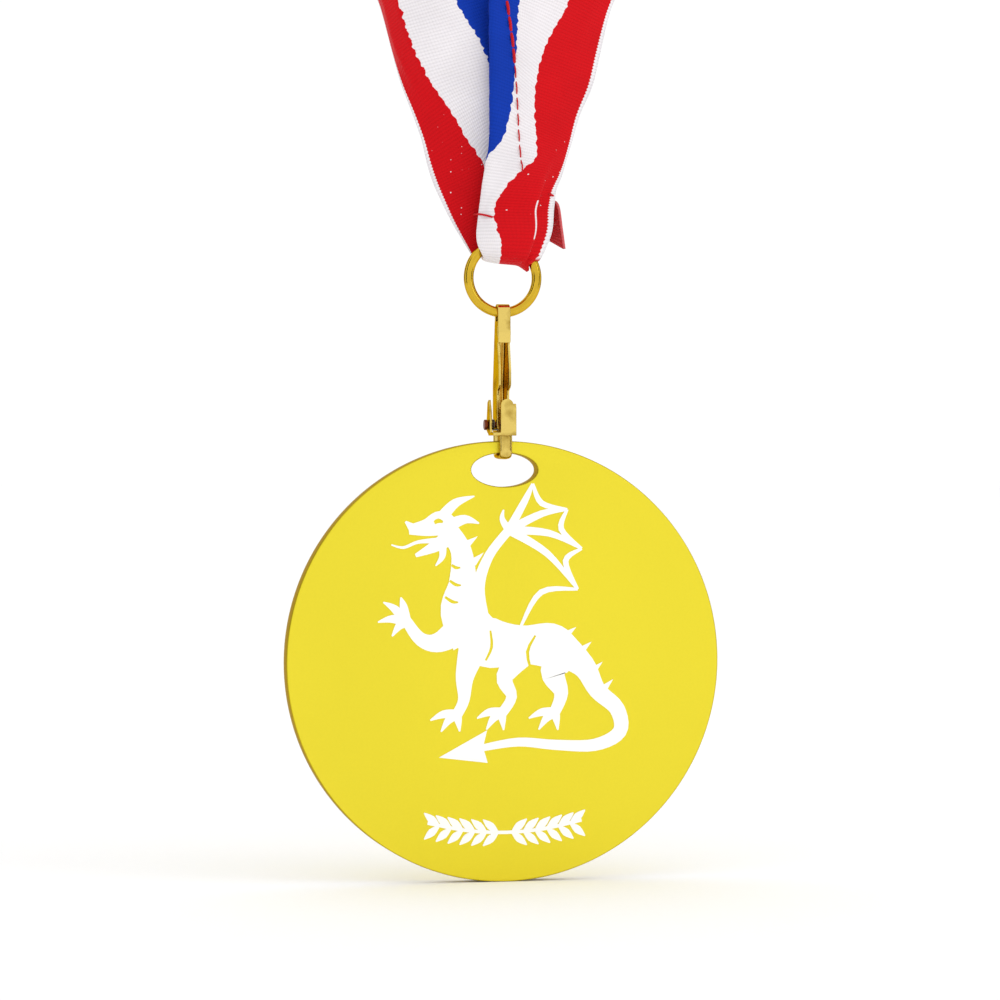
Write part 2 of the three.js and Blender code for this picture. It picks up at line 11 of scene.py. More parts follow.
import bpy
import numpy as np
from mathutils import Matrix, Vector

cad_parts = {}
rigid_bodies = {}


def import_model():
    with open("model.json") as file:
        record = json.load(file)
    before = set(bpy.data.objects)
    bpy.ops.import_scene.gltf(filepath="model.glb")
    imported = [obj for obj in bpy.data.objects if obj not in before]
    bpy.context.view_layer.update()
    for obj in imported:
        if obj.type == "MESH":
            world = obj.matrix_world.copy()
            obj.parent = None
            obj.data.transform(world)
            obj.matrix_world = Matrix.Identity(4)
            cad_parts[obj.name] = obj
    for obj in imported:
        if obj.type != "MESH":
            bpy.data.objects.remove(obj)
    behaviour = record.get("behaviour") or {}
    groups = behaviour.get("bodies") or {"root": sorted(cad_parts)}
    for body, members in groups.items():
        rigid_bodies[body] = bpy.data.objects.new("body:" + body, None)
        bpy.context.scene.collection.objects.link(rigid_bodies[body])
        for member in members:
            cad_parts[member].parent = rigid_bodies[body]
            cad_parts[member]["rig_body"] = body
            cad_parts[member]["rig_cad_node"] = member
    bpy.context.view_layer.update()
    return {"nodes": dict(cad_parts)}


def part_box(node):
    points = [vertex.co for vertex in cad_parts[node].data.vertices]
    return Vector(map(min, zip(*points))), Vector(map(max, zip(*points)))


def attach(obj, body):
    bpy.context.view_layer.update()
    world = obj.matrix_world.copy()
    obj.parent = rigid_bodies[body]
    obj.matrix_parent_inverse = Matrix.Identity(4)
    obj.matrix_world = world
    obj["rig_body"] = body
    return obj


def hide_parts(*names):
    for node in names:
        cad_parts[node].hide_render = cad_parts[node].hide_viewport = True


bl_info = {
    "name": "Award Medal",
    "version": (1, 0, 0),
    "blender": (4, 5, 0),
    "location": "View3D > Sidebar > Medal",
    "description": "Builds a gold medal on a neck ribbon round its fixed frame",
    "category": "Object",
}

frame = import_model()
MM = 0.001
DISC_LOW, DISC_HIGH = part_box("medal_disc")
RING_LOW, RING_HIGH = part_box("jump_ring")
ORIGIN = (DISC_LOW + DISC_HIGH) / 2
DISC_RADIUS = (DISC_HIGH.x - DISC_LOW.x) / 2 / MM
DISC_THICK = (DISC_HIGH.y - DISC_LOW.y) / MM
WIRE_RADIUS = (RING_HIGH.y - RING_LOW.y) / 2 / MM
RING_RADIUS = (RING_HIGH.x - RING_LOW.x) / 2 / MM - WIRE_RADIUS
RING_CENTRE = ((RING_LOW.z + RING_HIGH.z) / 2 - ORIGIN.z) / MM
MERGE = 1e-7


def mm(x, y, z):
    """A place in medal millimetres as a point in the frame."""
    return ORIGIN + Vector((x, y, z)) * MM


def linear(hex_colour):
    """An sRGB hex colour as the linear colour that sockets take."""
    channels = [int(hex_colour[i:i + 2], 16) / 255 for i in (1, 3, 5)]
    return [c / 12.92 if c <= 0.04045 else ((c + 0.055) / 1.055) ** 2.4 for c in channels]


def colour_property(name, description, hex_colour):
    return bpy.props.FloatVectorProperty(
        name=name, description=description, subtype="COLOR", size=3, min=0, max=1, default=linear(hex_colour)
    )


def length_property(name, description, millimetres):
    return bpy.props.FloatProperty(name=name, description=description, unit="LENGTH", default=millimetres * MM)


class RibbonSettings(bpy.types.PropertyGroup):
    width: length_property("Width", "Width of the ribbon, selvedge to selvedge", 25.0)
    thickness: length_property("Thickness", "Thickness of the cloth", 0.4)
    rib_pitch: length_property("Rib pitch", "Distance between the raised ribs of the weave", 0.49)
    scallop_pitch: length_property("Scallop pitch", "Distance between the scallops where two colours meet", 1.5)
    red: colour_property("Red", "Colour of the outer band", "#cf0411")
    white: colour_property("White", "Colour of the middle band and the bare cloth", "#ece7ea")
    blue: colour_property("Blue", "Colour of the inner band", "#0536a8")
    thread: colour_property("Thread", "Colour of the sewing thread", "#cf0f1b")


class MetalSettings(bpy.types.PropertyGroup):
    disc_gold: colour_property("Disc gold", "Colour of the satin face of the disc", "#ecdb3a")
    # The edge colour is painted shade: darker than the face, on the disc's rim and the wall of its hole.
    edge_shade_gold: colour_property("Rim gold", "Colour of the turned edge of the disc", "#b39d16")
    wire_gold: colour_property("Wire gold", "Colour of the ring's plating", "#dcb638")
    plate_gold: colour_property("Plated gold", "Colour of the hook's plating", "#e3c76a")
    plate_shade: colour_property("Plate shade", "Colour of the plating where it is thin or dull", "#8f6c14")
    copper: colour_property("Copper", "Colour of the rivet", "#8a4526")
    steel: colour_property("Spring steel", "Colour of the gate spring", "#8d877b")
    ink: colour_property("Ink", "Colour of the printed figures", "#fdfdfb")
    edge_round: length_property("Edge round", "Radius of the disc's broken edges", 0.22)


class StageSettings(bpy.types.PropertyGroup):
    floor: colour_property("Floor", "Colour of the floor", "#ffffff")
    surround: colour_property("Surround", "Colour of the light all round", "#ffffff")
    azimuth: bpy.props.FloatProperty(
        name="Azimuth", description="How far round to the right the camera stands", subtype="ANGLE",
        default=math.radians(-12),
    )
    elevation: bpy.props.FloatProperty(
        name="Elevation", description="How high the camera stands above level", subtype="ANGLE",
        default=math.radians(0.8),
    )
    lens: bpy.props.FloatProperty(name="Lens", description="Focal length in millimetres", default=135, min=20)


# ---------------------------------------------------------------- materials

# Gold keeps its colour at a glancing angle, where a white tint would turn its edges pale.
GOLD_EDGE = (*linear("#d2ac3c"), 1)


def add_node(tree, kind, inputs=(), output=0, **settings):
    """Adds a shader node, sets its properties, fills or links its inputs, by order or by name, and gives back
    one of its outputs."""
    added = tree.nodes.new("ShaderNode" + kind)
    for name, value in settings.items():
        setattr(added, name, value)
    for name, value in inputs.items() if isinstance(inputs, dict) else enumerate(inputs):
        socket = added.inputs[name]
        if isinstance(value, bpy.types.NodeSocket):
            tree.links.new(value, socket)
        elif isinstance(socket, bpy.types.NodeSocketColor) and len(value) == 3:
            socket.default_value = (*value, 1)
        else:
            socket.default_value = value
    return added.outputs[output] if added.outputs else None


def new_material(name):
    """An empty material, and the function that adds nodes to it."""
    material = bpy.data.materials.new(name)
    material.use_nodes = True
    material.node_tree.nodes.clear()
    return material, functools.partial(add_node, material.node_tree)


def close_material(node, **inputs):
    """Ends a material in a Principled shader with these sockets, named with _ for a space."""
    shader = node("BsdfPrincipled", {name.replace("_", " "): value for name, value in inputs.items()})
    node("OutputMaterial", {"Surface": shader})


def ribbon_material(name, settings, print_depth):
    """Polyester grosgrain, woven and then printed by dye transfer. It gives the eye raised weft ribs with
    painted shade in the valleys between them and between the warp threads, colour borders that step and scallop
    from rib to rib, bare selvedges, small bare flecks where it is creased, and a pale line painted along one
    fold as its highlight."""
    material, node = new_material(name)
    cloth = node("UVMap", uv_map="cloth")
    across, along = (node("SeparateXYZ", (cloth,), axis) for axis in (0, 1))
    width = settings.width / MM
    band = width / 3
    turns = node("Math", (along, math.pi * MM / settings.scallop_pitch), operation="MULTIPLY")
    scallop = node("Math", (node("Math", (turns,), operation="SINE"),), operation="ABSOLUTE")
    run = node("CombineXYZ", (0.0, along, 0.0))
    stray = node(
        "Math", (node("TexNoise", {"Vector": run, "Scale": 0.9, "Detail": 3.0}), 0.5), operation="SUBTRACT"
    )
    wobble = node(
        "Math", (stray, 1.1, node("Math", (scallop, 0.2), operation="MULTIPLY")), operation="MULTIPLY_ADD"
    )
    edge = 0.05
    blue_from = node("Math", (node("Math", (wobble, band), operation="ADD"), across), operation="SUBTRACT")
    blue_share = node("Math", (blue_from, edge), operation="DIVIDE", use_clamp=True)
    red_from = node("Math", (node("Math", (across, 2 * band), operation="SUBTRACT"), wobble), operation="ADD")
    red_share = node("Math", (red_from, edge), operation="DIVIDE", use_clamp=True)
    ribs = node("Math", (along, math.pi * MM / settings.rib_pitch), operation="MULTIPLY")
    rib = node("Math", (node("Math", (ribs,), operation="SINE"),), operation="ABSOLUTE")
    warp_pitch = 0.42
    warps = node("Math", (across, math.pi / warp_pitch), operation="MULTIPLY")
    warp = node("Math", (node("Math", (warps,), operation="SINE"),), operation="ABSOLUTE")
    place = node("TexCoord", output="Object")
    patch = node("TexNoise", {"Vector": place, "Scale": 160.0, "Detail": 3.0})
    fine = node("TexNoise", {"Vector": place, "Scale": 1900.0, "Detail": 2.0})
    selvedge = 0.62
    near = node("Math", (across, node("Math", (width, across), operation="SUBTRACT")), operation="MINIMUM")
    ragged = node(
        "Math", (node("Math", (rib, 0.5), operation="SUBTRACT"), 0.16, selvedge), operation="MULTIPLY_ADD"
    )
    bare_edge = node(
        "Math", (node("Math", (ragged, near), operation="SUBTRACT"), edge), operation="DIVIDE", use_clamp=True
    )
    inked = node("Attribute", output="Fac", attribute_name="inked")
    bare_edge = node("Math", (bare_edge, inked), operation="SUBTRACT", use_clamp=True)
    crease = node("Attribute", output="Fac", attribute_name="crease")
    flecks = node("TexVoronoi", {"Vector": cloth, "Scale": 0.8, "Randomness": 1.0}, "Distance")
    fleck_size = node("Math", (crease, 0.11), operation="MULTIPLY")
    fleck = node(
        "Math",
        (node("Math", (fleck_size, flecks), operation="SUBTRACT"), 0.03),
        operation="DIVIDE",
        use_clamp=True,
    )
    # Painted highlight: a pale line along the front strand's fold, shown as bare white cloth.
    worn = node("Attribute", output="Fac", attribute_name="worn")
    fold_highlight_line = node(
        "Math", (node("Math", (worn, 0.66), operation="SUBTRACT"), 0.12), operation="DIVIDE", use_clamp=True
    )
    # The bare white joins the bare selvedges and creased flecks with the painted highlight along the fold.
    bare = node(
        "Math", (node("Math", (bare_edge, fleck), operation="MAXIMUM"), fold_highlight_line), operation="MAXIMUM"
    )
    printed = node("Mix", {0: red_share, 6: settings.white, 7: settings.red}, 2, data_type="RGBA")
    printed = node("Mix", {0: blue_share, 6: printed, 7: settings.blue}, 2, data_type="RGBA")
    printed = node("Mix", {0: bare, 6: printed, 7: settings.white}, 2, data_type="RGBA")
    printed = node("Mix", {0: print_depth, 6: settings.white, 7: printed}, 2, data_type="RGBA")
    # Painted shade: the tone darkens in the valleys between the weft ribs and between the warp threads, on top
    # of a random patchy tone.
    tone = node("Math", (patch, 0.2, 0.88), operation="MULTIPLY_ADD")
    tone = node(
        "Math", (tone, node("Math", (rib, 0.1, 0.91), operation="MULTIPLY_ADD")), operation="MULTIPLY"
    )
    tone = node(
        "Math", (tone, node("Math", (warp, 0.05, 0.96), operation="MULTIPLY_ADD")), operation="MULTIPLY"
    )
    shade = node("CombineColor", (tone, tone, tone))
    colour = node("Mix", {0: 1.0, 6: printed, 7: shade}, 2, data_type="RGBA", blend_type="MULTIPLY")
    height = node(
        "Math",
        (warp, 0.25, node("Math", (fine, 0.35, rib), operation="MULTIPLY_ADD")),
        operation="MULTIPLY_ADD",
    )
    bump = node("Bump", {"Strength": 0.6, "Distance": 0.07 * MM, "Height": height})
    close_material(
        node,
        Base_Color=colour,
        Roughness=0.7,
        Normal=bump,
        Sheen_Weight=0.04,
        Sheen_Roughness=0.4,
        Specular_IOR_Level=0.12,
    )
    return material


def thread_material(settings):
    """Spun polyester sewing thread. Its twist gives the eye fine slanting ridges and a dull surface."""
    material, node = new_material("sewing_thread_spun_polyester")
    place = node("TexCoord", output="Object")
    twist = node("Mapping", {"Vector": place, "Rotation": (0.6, 0.5, 0.7)})
    waves = {"Vector": twist, "Scale": 1400.0, "Distortion": 0.6}
    ridges = node("TexWave", waves, "Fac", bands_direction="Z")
    colour = node(
        "Mix", {0: ridges, 6: [c * 0.72 for c in settings.thread], 7: settings.thread}, 2, data_type="RGBA"
    )
    bump = node("Bump", {"Strength": 0.5, "Distance": 0.04 * MM, "Height": ridges})
    close_material(
        node, Base_Color=colour, Roughness=0.6, Normal=bump, Sheen_Weight=0.03, Specular_IOR_Level=0.2
    )
    return material


def plated_material(metals):
    """Stamped steel plated with gold colour and tumbled. It gives the eye a bright, warm mirror with a slight
    orange peel, and duller brown-gold patches where the plating is thin."""
    material, node = new_material("steel_gold_plated_tumbled")
    place = node("TexCoord", output="Object")
    patch = node("TexNoise", {"Vector": place, "Scale": 420.0, "Detail": 4.0})
    dull = node(
        "Math", (node("Math", (patch, 0.5), operation="SUBTRACT"), 3.2), operation="MULTIPLY", use_clamp=True
    )
    colour = node("Mix", {0: dull, 6: metals.plate_gold, 7: metals.plate_shade}, 2, data_type="RGBA")
    roughness = node("Math", (dull, 0.16, 0.18), operation="MULTIPLY_ADD")
    peel = node("TexNoise", {"Vector": place, "Scale": 1500.0, "Detail": 2.0})
    bump = node("Bump", {"Strength": 0.25, "Distance": 0.03 * MM, "Height": peel})
    close_material(
        node, Base_Color=colour, Metallic=1.0, Roughness=roughness, Normal=bump, Specular_Tint=GOLD_EDGE
    )
    return material


def wire_material(metals):
    """Drawn brass-coloured wire, plated bright. It gives the eye a smooth mirror with faint draw lines."""
    material, node = new_material("ring_wire_gold_plated_bright")
    place = node("TexCoord", output="Object")
    drawn = node("TexNoise", {"Vector": place, "Scale": 700.0, "Detail": 3.0})
    colour = node(
        "Mix",
        {0: node("Math", (drawn, 0.35), operation="MULTIPLY"), 6: metals.wire_gold, 7: metals.plate_shade},
        2,
        data_type="RGBA",
    )
    roughness = node("Math", (drawn, 0.12, 0.12), operation="MULTIPLY_ADD")
    bump = node("Bump", {"Strength": 0.15, "Distance": 0.03 * MM, "Height": drawn})
    close_material(
        node, Base_Color=colour, Metallic=1.0, Roughness=roughness, Normal=bump, Specular_Tint=GOLD_EDGE
    )
    return material


def copper_material(metals):
    """Cold-headed copper rivet wire, gone brown. It gives the eye a dark red-brown metal with a dull skin."""
    material, node = new_material("rivet_copper_browned")
    skin = node("TexNoise", {"Vector": node("TexCoord", output="Object"), "Scale": 1600.0, "Detail": 3.0})
    colour = node(
        "Mix", {0: skin, 6: metals.copper, 7: [c * 0.45 for c in metals.copper]}, 2, data_type="RGBA"
    )
    roughness = node("Math", (skin, 0.25, 0.25), operation="MULTIPLY_ADD")
    bump = node("Bump", {"Strength": 0.2, "Distance": 0.03 * MM, "Height": skin})
    close_material(node, Base_Color=colour, Metallic=1.0, Roughness=roughness, Normal=bump)
    return material


def spring_material(metals):
    """Hard-drawn spring steel wire. It gives the eye a grey, oily metal with darker streaks."""
    material, node = new_material("spring_steel_drawn")
    streak = node("TexNoise", {"Vector": node("TexCoord", output="Object"), "Scale": 2200.0, "Detail": 2.0})
    colour = node(
        "Mix", {0: streak, 6: metals.steel, 7: [c * 0.5 for c in metals.steel]}, 2, data_type="RGBA"
    )
    close_material(
        node,
        Base_Color=colour,
        Metallic=1.0,
        Roughness=node("Math", (streak, 0.2, 0.22), operation="MULTIPLY_ADD"),
    )
    return material


def disc_material(metals):
    """Aluminium, bead blasted and anodised gold. It gives the eye an even satin yellow with a very fine
    grain, painted light that leaves it a little paler to one side, and painted shade on its turned edge and the
    hole's wall."""
    material, node = new_material("aluminium_satin_gold_anodised")
    place = node("TexCoord", output="Object")
    grain = node("TexNoise", {"Vector": place, "Scale": 2600.0, "Detail": 2.0})
    # Painted light: a broad cloud that leaves the face a little paler to one side.
    painted_light_cloud = node("TexNoise", {"Vector": place, "Scale": 26.0, "Detail": 2.0})
    # Painted shade: faces turned away from the front and back, the rim and the hole's wall, take the darker edge
    # colour.
    facing = node("SeparateXYZ", (node("NewGeometry", output="Normal"),), 1)
    squarely = node("Math", (facing,), operation="ABSOLUTE", use_clamp=True)
    flat = node("Math", (squarely, 4.0), operation="POWER")
    colour = node("Mix", {0: flat, 6: metals.edge_shade_gold, 7: metals.disc_gold}, 2, data_type="RGBA")
    tone = node("Math", (painted_light_cloud, 0.1, 0.94), operation="MULTIPLY_ADD")
    tone = node(
        "Math", (tone, node("Math", (grain, 0.06, 0.97), operation="MULTIPLY_ADD")), operation="MULTIPLY"
    )
    shade = node("CombineColor", (tone, tone, tone))
    colour = node("Mix", {0: 1.0, 6: colour, 7: shade}, 2, data_type="RGBA", blend_type="MULTIPLY")
    roughness = node("Math", (grain, 0.12, 0.32), operation="MULTIPLY_ADD")
    bump = node("Bump", {"Strength": 0.18, "Distance": 0.02 * MM, "Height": grain})
    close_material(
        node, Base_Color=colour, Metallic=0.85, Roughness=roughness, Normal=bump, Specular_Tint=GOLD_EDGE
    )
    return material


def ink_material(metals):
    """White ink, cured on the metal under ultraviolet light. It gives the eye an opaque, faintly
    pebbled white layer with a soft gloss."""
    material, node = new_material("ink_white_uv_cured")
    place = node("TexCoord", output="Object")
    pebble = node("TexNoise", {"Vector": place, "Scale": 1900.0, "Detail": 2.0})
    tone = node("Math", (pebble, 0.05, 0.96), operation="MULTIPLY_ADD")
    shade = node("CombineColor", (tone, tone, tone))
    colour = node("Mix", {0: 1.0, 6: metals.ink, 7: shade}, 2, data_type="RGBA", blend_type="MULTIPLY")
    bump = node("Bump", {"Strength": 0.2, "Distance": 0.03 * MM, "Height": pebble})
    close_material(node, Base_Color=colour, Roughness=0.38, Normal=bump, Coat_Weight=0.1)
    return material


def floor_material(settings):
    """Matt white paper. It gives the eye an even pale ground that takes a soft shadow."""
    material, node = new_material("floor_matt_paper")
    fibre = node("TexNoise", {"Vector": node("TexCoord", output="Object"), "Scale": 900.0})
    tone = node("Math", (fibre, 0.03, 0.98), operation="MULTIPLY_ADD")
    shade = node("CombineColor", (tone, tone, tone))
    colour = node("Mix", {0: 1.0, 6: settings.floor, 7: shade}, 2, data_type="RGBA", blend_type="MULTIPLY")
    close_material(node, Base_Color=colour, Roughness=0.9)
    return material


def felt_material():
    """Black wool felt on card. It gives the metal something dark and dull to mirror."""
    material, node = new_material("card_black_felt")
    nap = node("TexNoise", {"Vector": node("TexCoord", output="Object"), "Scale": 300.0})
    roughness = node("Math", (nap, 0.1, 0.85), operation="MULTIPLY_ADD")
    close_material(node, Base_Color=(0.012, 0.012, 0.012), Roughness=roughness)
    return material


# ---------------------------------------------------------------- modelling helpers


def clear_selection():
    if bpy.context.mode != "OBJECT":
        bpy.ops.object.mode_set(mode="OBJECT")
    bpy.ops.object.select_all(action="DESELECT")


def only(*objects):
    """Selects just these objects and makes the first one active."""
    clear_selection()
    for piece in objects:
        piece.select_set(True)
    bpy.context.view_layer.objects.active = objects[0]
    return objects[0]


def select_where(test, kind="faces"):
    """In edit mode: selects the faces or vertices for which test(its centre, its normal) is true."""
    bpy.ops.mesh.select_mode(type="FACE" if kind == "faces" else "VERT")
    bpy.ops.mesh.select_all(action="DESELECT")
    bpy.ops.object.mode_set(mode="OBJECT")
    mesh = bpy.context.object.data
    for item in getattr(mesh, "polygons" if kind == "faces" else "vertices"):
        centre = item.center if kind == "faces" else item.co
        item.select = bool(test(centre, item.normal))
    bpy.ops.object.mode_set(mode="EDIT")


def modify(piece, kind, **settings):
    """Adds a modifier with these settings and applies it."""
    only(piece)
    modifier = piece.modifiers.new(kind.lower(), kind)
    for name, value in settings.items():
        setattr(modifier, name, value)
    bpy.ops.object.modifier_apply(modifier=modifier.name)


def finish_piece(piece, name, material, body, nodes=(), angle=40, turn_out=True):
    """Names a piece, puts its place into its mesh, smooths it, paints it and hangs it on its body."""
    only(piece)
    bpy.ops.object.transform_apply(location=True, rotation=True, scale=True)
    if turn_out:
        bpy.ops.object.mode_set(mode="EDIT")
        bpy.ops.mesh.select_all(action="SELECT")
        bpy.ops.mesh.normals_make_consistent(inside=False)
        bpy.ops.object.mode_set(mode="OBJECT")
    bpy.ops.object.shade_smooth_by_angle(angle=math.radians(angle))
    piece.name = name
    piece.data.name = name
    if material is not None:
        piece.data.materials.clear()
        piece.data.materials.append(material)
    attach(piece, body)
    if nodes:
        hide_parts(*nodes)
    return piece


def arc(centre, radius, start, end, steps):
    """Points on an arc in a plane, with its angles in degrees."""
    angles = [math.radians(start + (end - start) * i / steps) for i in range(steps + 1)]
    return [(centre[0] + radius * math.cos(a), centre[1] + radius * math.sin(a)) for a in angles]


def plate(outline, low, high, plane):
    """A flat plate: one corner is drawn round the outline by extruding it, the outline is filled, and the face
    is extruded from low to high. The outline is in X and Z for a front plate, and Y and Z for a side plate."""
    def at(a, b):
        return mm(a, low, b) if plane == "front" else mm(low, a, b)

    clear_selection()
    points = [at(*p) for p in outline]
    bpy.ops.mesh.primitive_plane_add(size=MM, location=points[0])
    bpy.ops.object.mode_set(mode="EDIT")
    bpy.ops.mesh.merge(type="CENTER")
    for here, there in zip(points, points[1:]):
        bpy.ops.mesh.extrude_vertices_move(TRANSFORM_OT_translate={"value": there - here})
    bpy.ops.mesh.select_all(action="SELECT")
    bpy.ops.mesh.edge_face_add()
    thick = (high - low) * MM
    step = (0, thick, 0) if plane == "front" else (thick, 0, 0)
    bpy.ops.mesh.extrude_region_move(TRANSFORM_OT_translate={"value": step})
    bpy.ops.mesh.select_all(action="SELECT")
    bpy.ops.mesh.normals_make_consistent(inside=False)
    bpy.ops.object.mode_set(mode="OBJECT")
    return bpy.context.object


def melt(pieces, grain, rounds):
    """Joins plates into one stamped skin with softly rounded edges."""
    whole = only(*pieces)
    bpy.ops.object.join()
    bpy.ops.object.transform_apply(location=True, rotation=True, scale=True)
    modify(whole, "REMESH", mode="VOXEL", voxel_size=grain * MM)
    modify(whole, "SMOOTH", factor=0.5, iterations=rounds)
    return whole


# ---------------------------------------------------------------- neck ribbon

LEAN = math.radians(17)
FOOT = 64.5
STRAND = 232.0
UP_AND_OUT = np.array([math.sin(LEAN), 0, math.cos(LEAN)])
OVER = np.array([-1.0, 0, 0])
HELIX_AXIS = (UP_AND_OUT + OVER) / 2
HELIX_SWING = (UP_AND_OUT - OVER) / 2
NECK = STRAND * UP_AND_OUT[0] / -HELIX_AXIS[0]
HALF_RIBBON = STRAND + NECK
KNOT_TOP = 97.0
FREE_FROM = 150.0
RIBBON_WIDTH = 25.0
# Depth of each strand's shift where the two cross, and the heights between which it fades.
CROSS_DEPTH = 0.75
CROSS_FADE = (130, 190)
# Rows of the sheet: the tail, the loop, then each strand's knot and strap.
TAIL_ROWS, LOOP_ROWS, KNOT_ROWS, STRAP_ROWS = 40, 24, 110, 190
FRONT_START = TAIL_ROWS + LOOP_ROWS
FINE_TOP = 105
FRONT_FOOT, TAIL_FOOT, REAR_FOOT = 62.0, 61.6, 59.9


def unit(v):
    return v / np.linalg.norm(v)


def strap_point(distance, c):
    """A point of the right-hand strand, this far up from its foot. c runs from 0 at the blue edge to 1 at
    the red edge. Past the straight strand the line is half a turn of a helix round the neck."""
    turn = math.pi * max(distance - STRAND, 0) / NECK
    reach = NECK / math.pi
    swing = np.linalg.norm(HELIX_SWING)
    centre = np.array([0, 0, FOOT]) + UP_AND_OUT * min(distance, STRAND)
    centre = centre + HELIX_AXIS * reach * turn + HELIX_SWING * reach * math.sin(turn)
    centre[1] += reach * swing * (1 - math.cos(turn))
    along = HELIX_AXIS + HELIX_SWING * math.cos(turn)
    along = unit(along + np.array([0, swing * math.sin(turn), 0]))
    inward = -HELIX_SWING * math.sin(turn) / swing + np.array([0, math.cos(turn), 0])
    across = unit(np.cross(along, inward))
    return centre, across, centre + across * (0.5 - c) * RIBBON_WIDTH


def smooth_curves(stations, values):
    """Smooth curves through rows of values at rising stations, as a function of the place along them."""
    stations, values = np.asarray(stations, float), np.asarray(values, float)
    slopes = np.gradient(values, stations, axis=0)
    fine = np.linspace(stations[0], stations[-1], 400)
    i = np.clip(np.searchsorted(stations, fine) - 1, 0, len(stations) - 2)
    gap = (stations[i + 1] - stations[i])[:, None]
    t = (fine - stations[i])[:, None] / gap
    curves = (
        values[i] * (2 * t**3 - 3 * t**2 + 1) + slopes[i] * gap * (t**3 - 2 * t**2 + t)
        + values[i + 1] * (3 * t**2 - 2 * t**3) + slopes[i + 1] * gap * (t**3 - t**2)
    )

    def at(place):
        step = (place - fine[0]) / (fine[-1] - fine[0]) * (len(fine) - 1)
        step = min(max(step, 0), len(fine) - 1.001)
        low = int(step)
        return curves[low] + (curves[low + 1] - curves[low]) * (step - low)

    return at


# The front (right-hand) strand where it gathers: at each height, the share of the cloth that is folded
# behind its left edge, then the places across of the fold, the blue and white border, the white and red
# border, the edge of the main lobe and the red selvedge, and their depths.
FRONT_STRAND = [
    # height, fold share, fold, blue|white, white|red, lobe, red edge, then the depths of the fold, white|red,
    # lobe and red edge
    (60.4, 0.45, -4.00, -3.4, -0.80, 3.4, 5.4, -1.9, -3.1, -2.3, -1.5),
    (61.9, 0.45, -4.45, -3.9, -1.10, 4.5, 6.6, -2.1, -3.7, -2.8, -1.3),
    (64.8, 0.45, -4.25, -3.7, -2.30, 5.2, 7.4, -2.1, -3.2, -2.5, -0.9),
    (66.6, 0.44, -4.00, -3.5, -2.20, 5.2, 7.5, -1.8, -2.3, -1.7, -0.8),
    (67.8, 0.43, -3.90, -3.3, -1.90, 5.5, 7.7, -2.0, -2.7, -2.0, -0.7),
    (69.3, 0.40, -3.75, -3.1, -0.95, 5.9, 7.8, -1.9, -3.1, -2.2, -0.5),
    (71.7, 0.36, -3.25, -2.9, 1.50, 6.4, 8.9, -1.8, -3.0, -1.7, 0.2),
    (73.9, 0.325, -2.85, -2.6, 4.60, 7.3, 9.7, -1.7, -1.8, -0.6, 1.1),
    (76.6, 0.253, -2.45, -0.6, 4.95, 7.9, 10.7, -1.6, -0.6, 0.5, 1.7),
    (81.0, 0.20, -2.30, 0.9, 4.7, 8.5, 12.2, -1.5, -0.1, 1.1, 2.6),
    (85.4, 0.173, -2.25, 1.55, 5.0, 9.6, 14.3, -1.4, 0.3, 1.7, 3.4),
    (90.0, 0.16, -2.25, 1.9, 6.2, 10.9, 15.6, -1.3, 0.9, 2.4, 4.2),
    (97.0, 0.137, -2.35, 2.2, 10.1, 13.8, 17.3, -1.2, 2.2, 3.9, 6.0),
]
# The rear (left-hand) strand: the places and depths of the red selvedge, the middle of the red band, the
# red and white border, the white and blue border, and the blue edge, which lies behind the front strand.
REAR_STRAND = [
    (59.8, -4.2, -3.2, -1.2, 1.0, 2.4, 1.8, 1.7, 1.6, 1.6, 1.7),
    (61.9, -5.5, -3.8, -1.4, 1.2, 2.8, 1.9, 1.8, 1.6, 1.6, 1.7),
    (64.8, -7.2, -4.4, -1.4, 1.4, 3.1, 2.2, 1.9, 1.6, 1.5, 1.7),
    (67.8, -8.7, -5.0, -1.5, 1.5, 3.4, 2.4, 1.9, 1.5, 1.3, 1.7),
    (70.7, -9.95, -5.7, -2.0, 1.5, 3.5, 2.8, 2.0, 1.3, 1.2, 1.8),
    (73.9, -10.85, -7.0, -2.75, 1.2, 3.5, 3.3, 2.3, 1.4, 1.2, 2.0),
    (76.6, -11.3, -8.5, -4.8, 0.8, 3.6, 3.8, 2.6, 1.6, 1.1, 2.4),
    (81.0, -12.6, -10.4, -7.4, 0.0, 3.6, 4.8, 3.2, 1.8, 1.0, 2.9),
    (85.4, -13.97, -12.8, -10.55, -1.0, 3.6, 6.0, 4.0, 2.0, 0.9, 3.0),
    (90.0, -14.94, -14.9, -12.9, -2.4, 3.2, 7.5, 4.8, 2.2, 0.8, 3.0),
    (97.0, -16.17, -16.7, -15.3, -6.7, 1.9, 9.5, 5.5, 2.2, 1.0, 3.0),
]
# The tail behind the ring, from the loop to its cut end: the places of the blue edge, the white and red
# border and the red edge at each station.
TAIL = [
    ((-3.0, 2.9, 61.6), (1.4, 2.9, 61.6), (4.2, 2.7, 61.6)),
    ((-2.0, 3.5, 65.6), (2.8, 3.6, 65.4), (5.0, 3.1, 65.0)),
    ((-1.0, 5.0, 69.0), (5.2, 4.7, 68.8), (6.9, 2.8, 67.4)),
    ((1.5, 6.2, 69.2), (7.6, 6.6, 68.6), (8.5, 1.2, 67.9)),
    ((2.0, 6.7, 65.4), (8.5, 6.8, 64.8), (9.1, 0.9, 64.2)),
    ((2.5, 6.2, 62.8), (8.8, 6.4, 62.4), (9.5, 0.7, 61.0)),
]
FOLD_RADIUS = 0.42
front_shape = smooth_curves([row[0] for row in FRONT_STRAND], [row[1:] for row in FRONT_STRAND])
rear_shape = smooth_curves([row[0] for row in REAR_STRAND], [row[1:] for row in REAR_STRAND])
tail_shape = smooth_curves(range(len(TAIL)), [np.ravel(row) for row in TAIL])


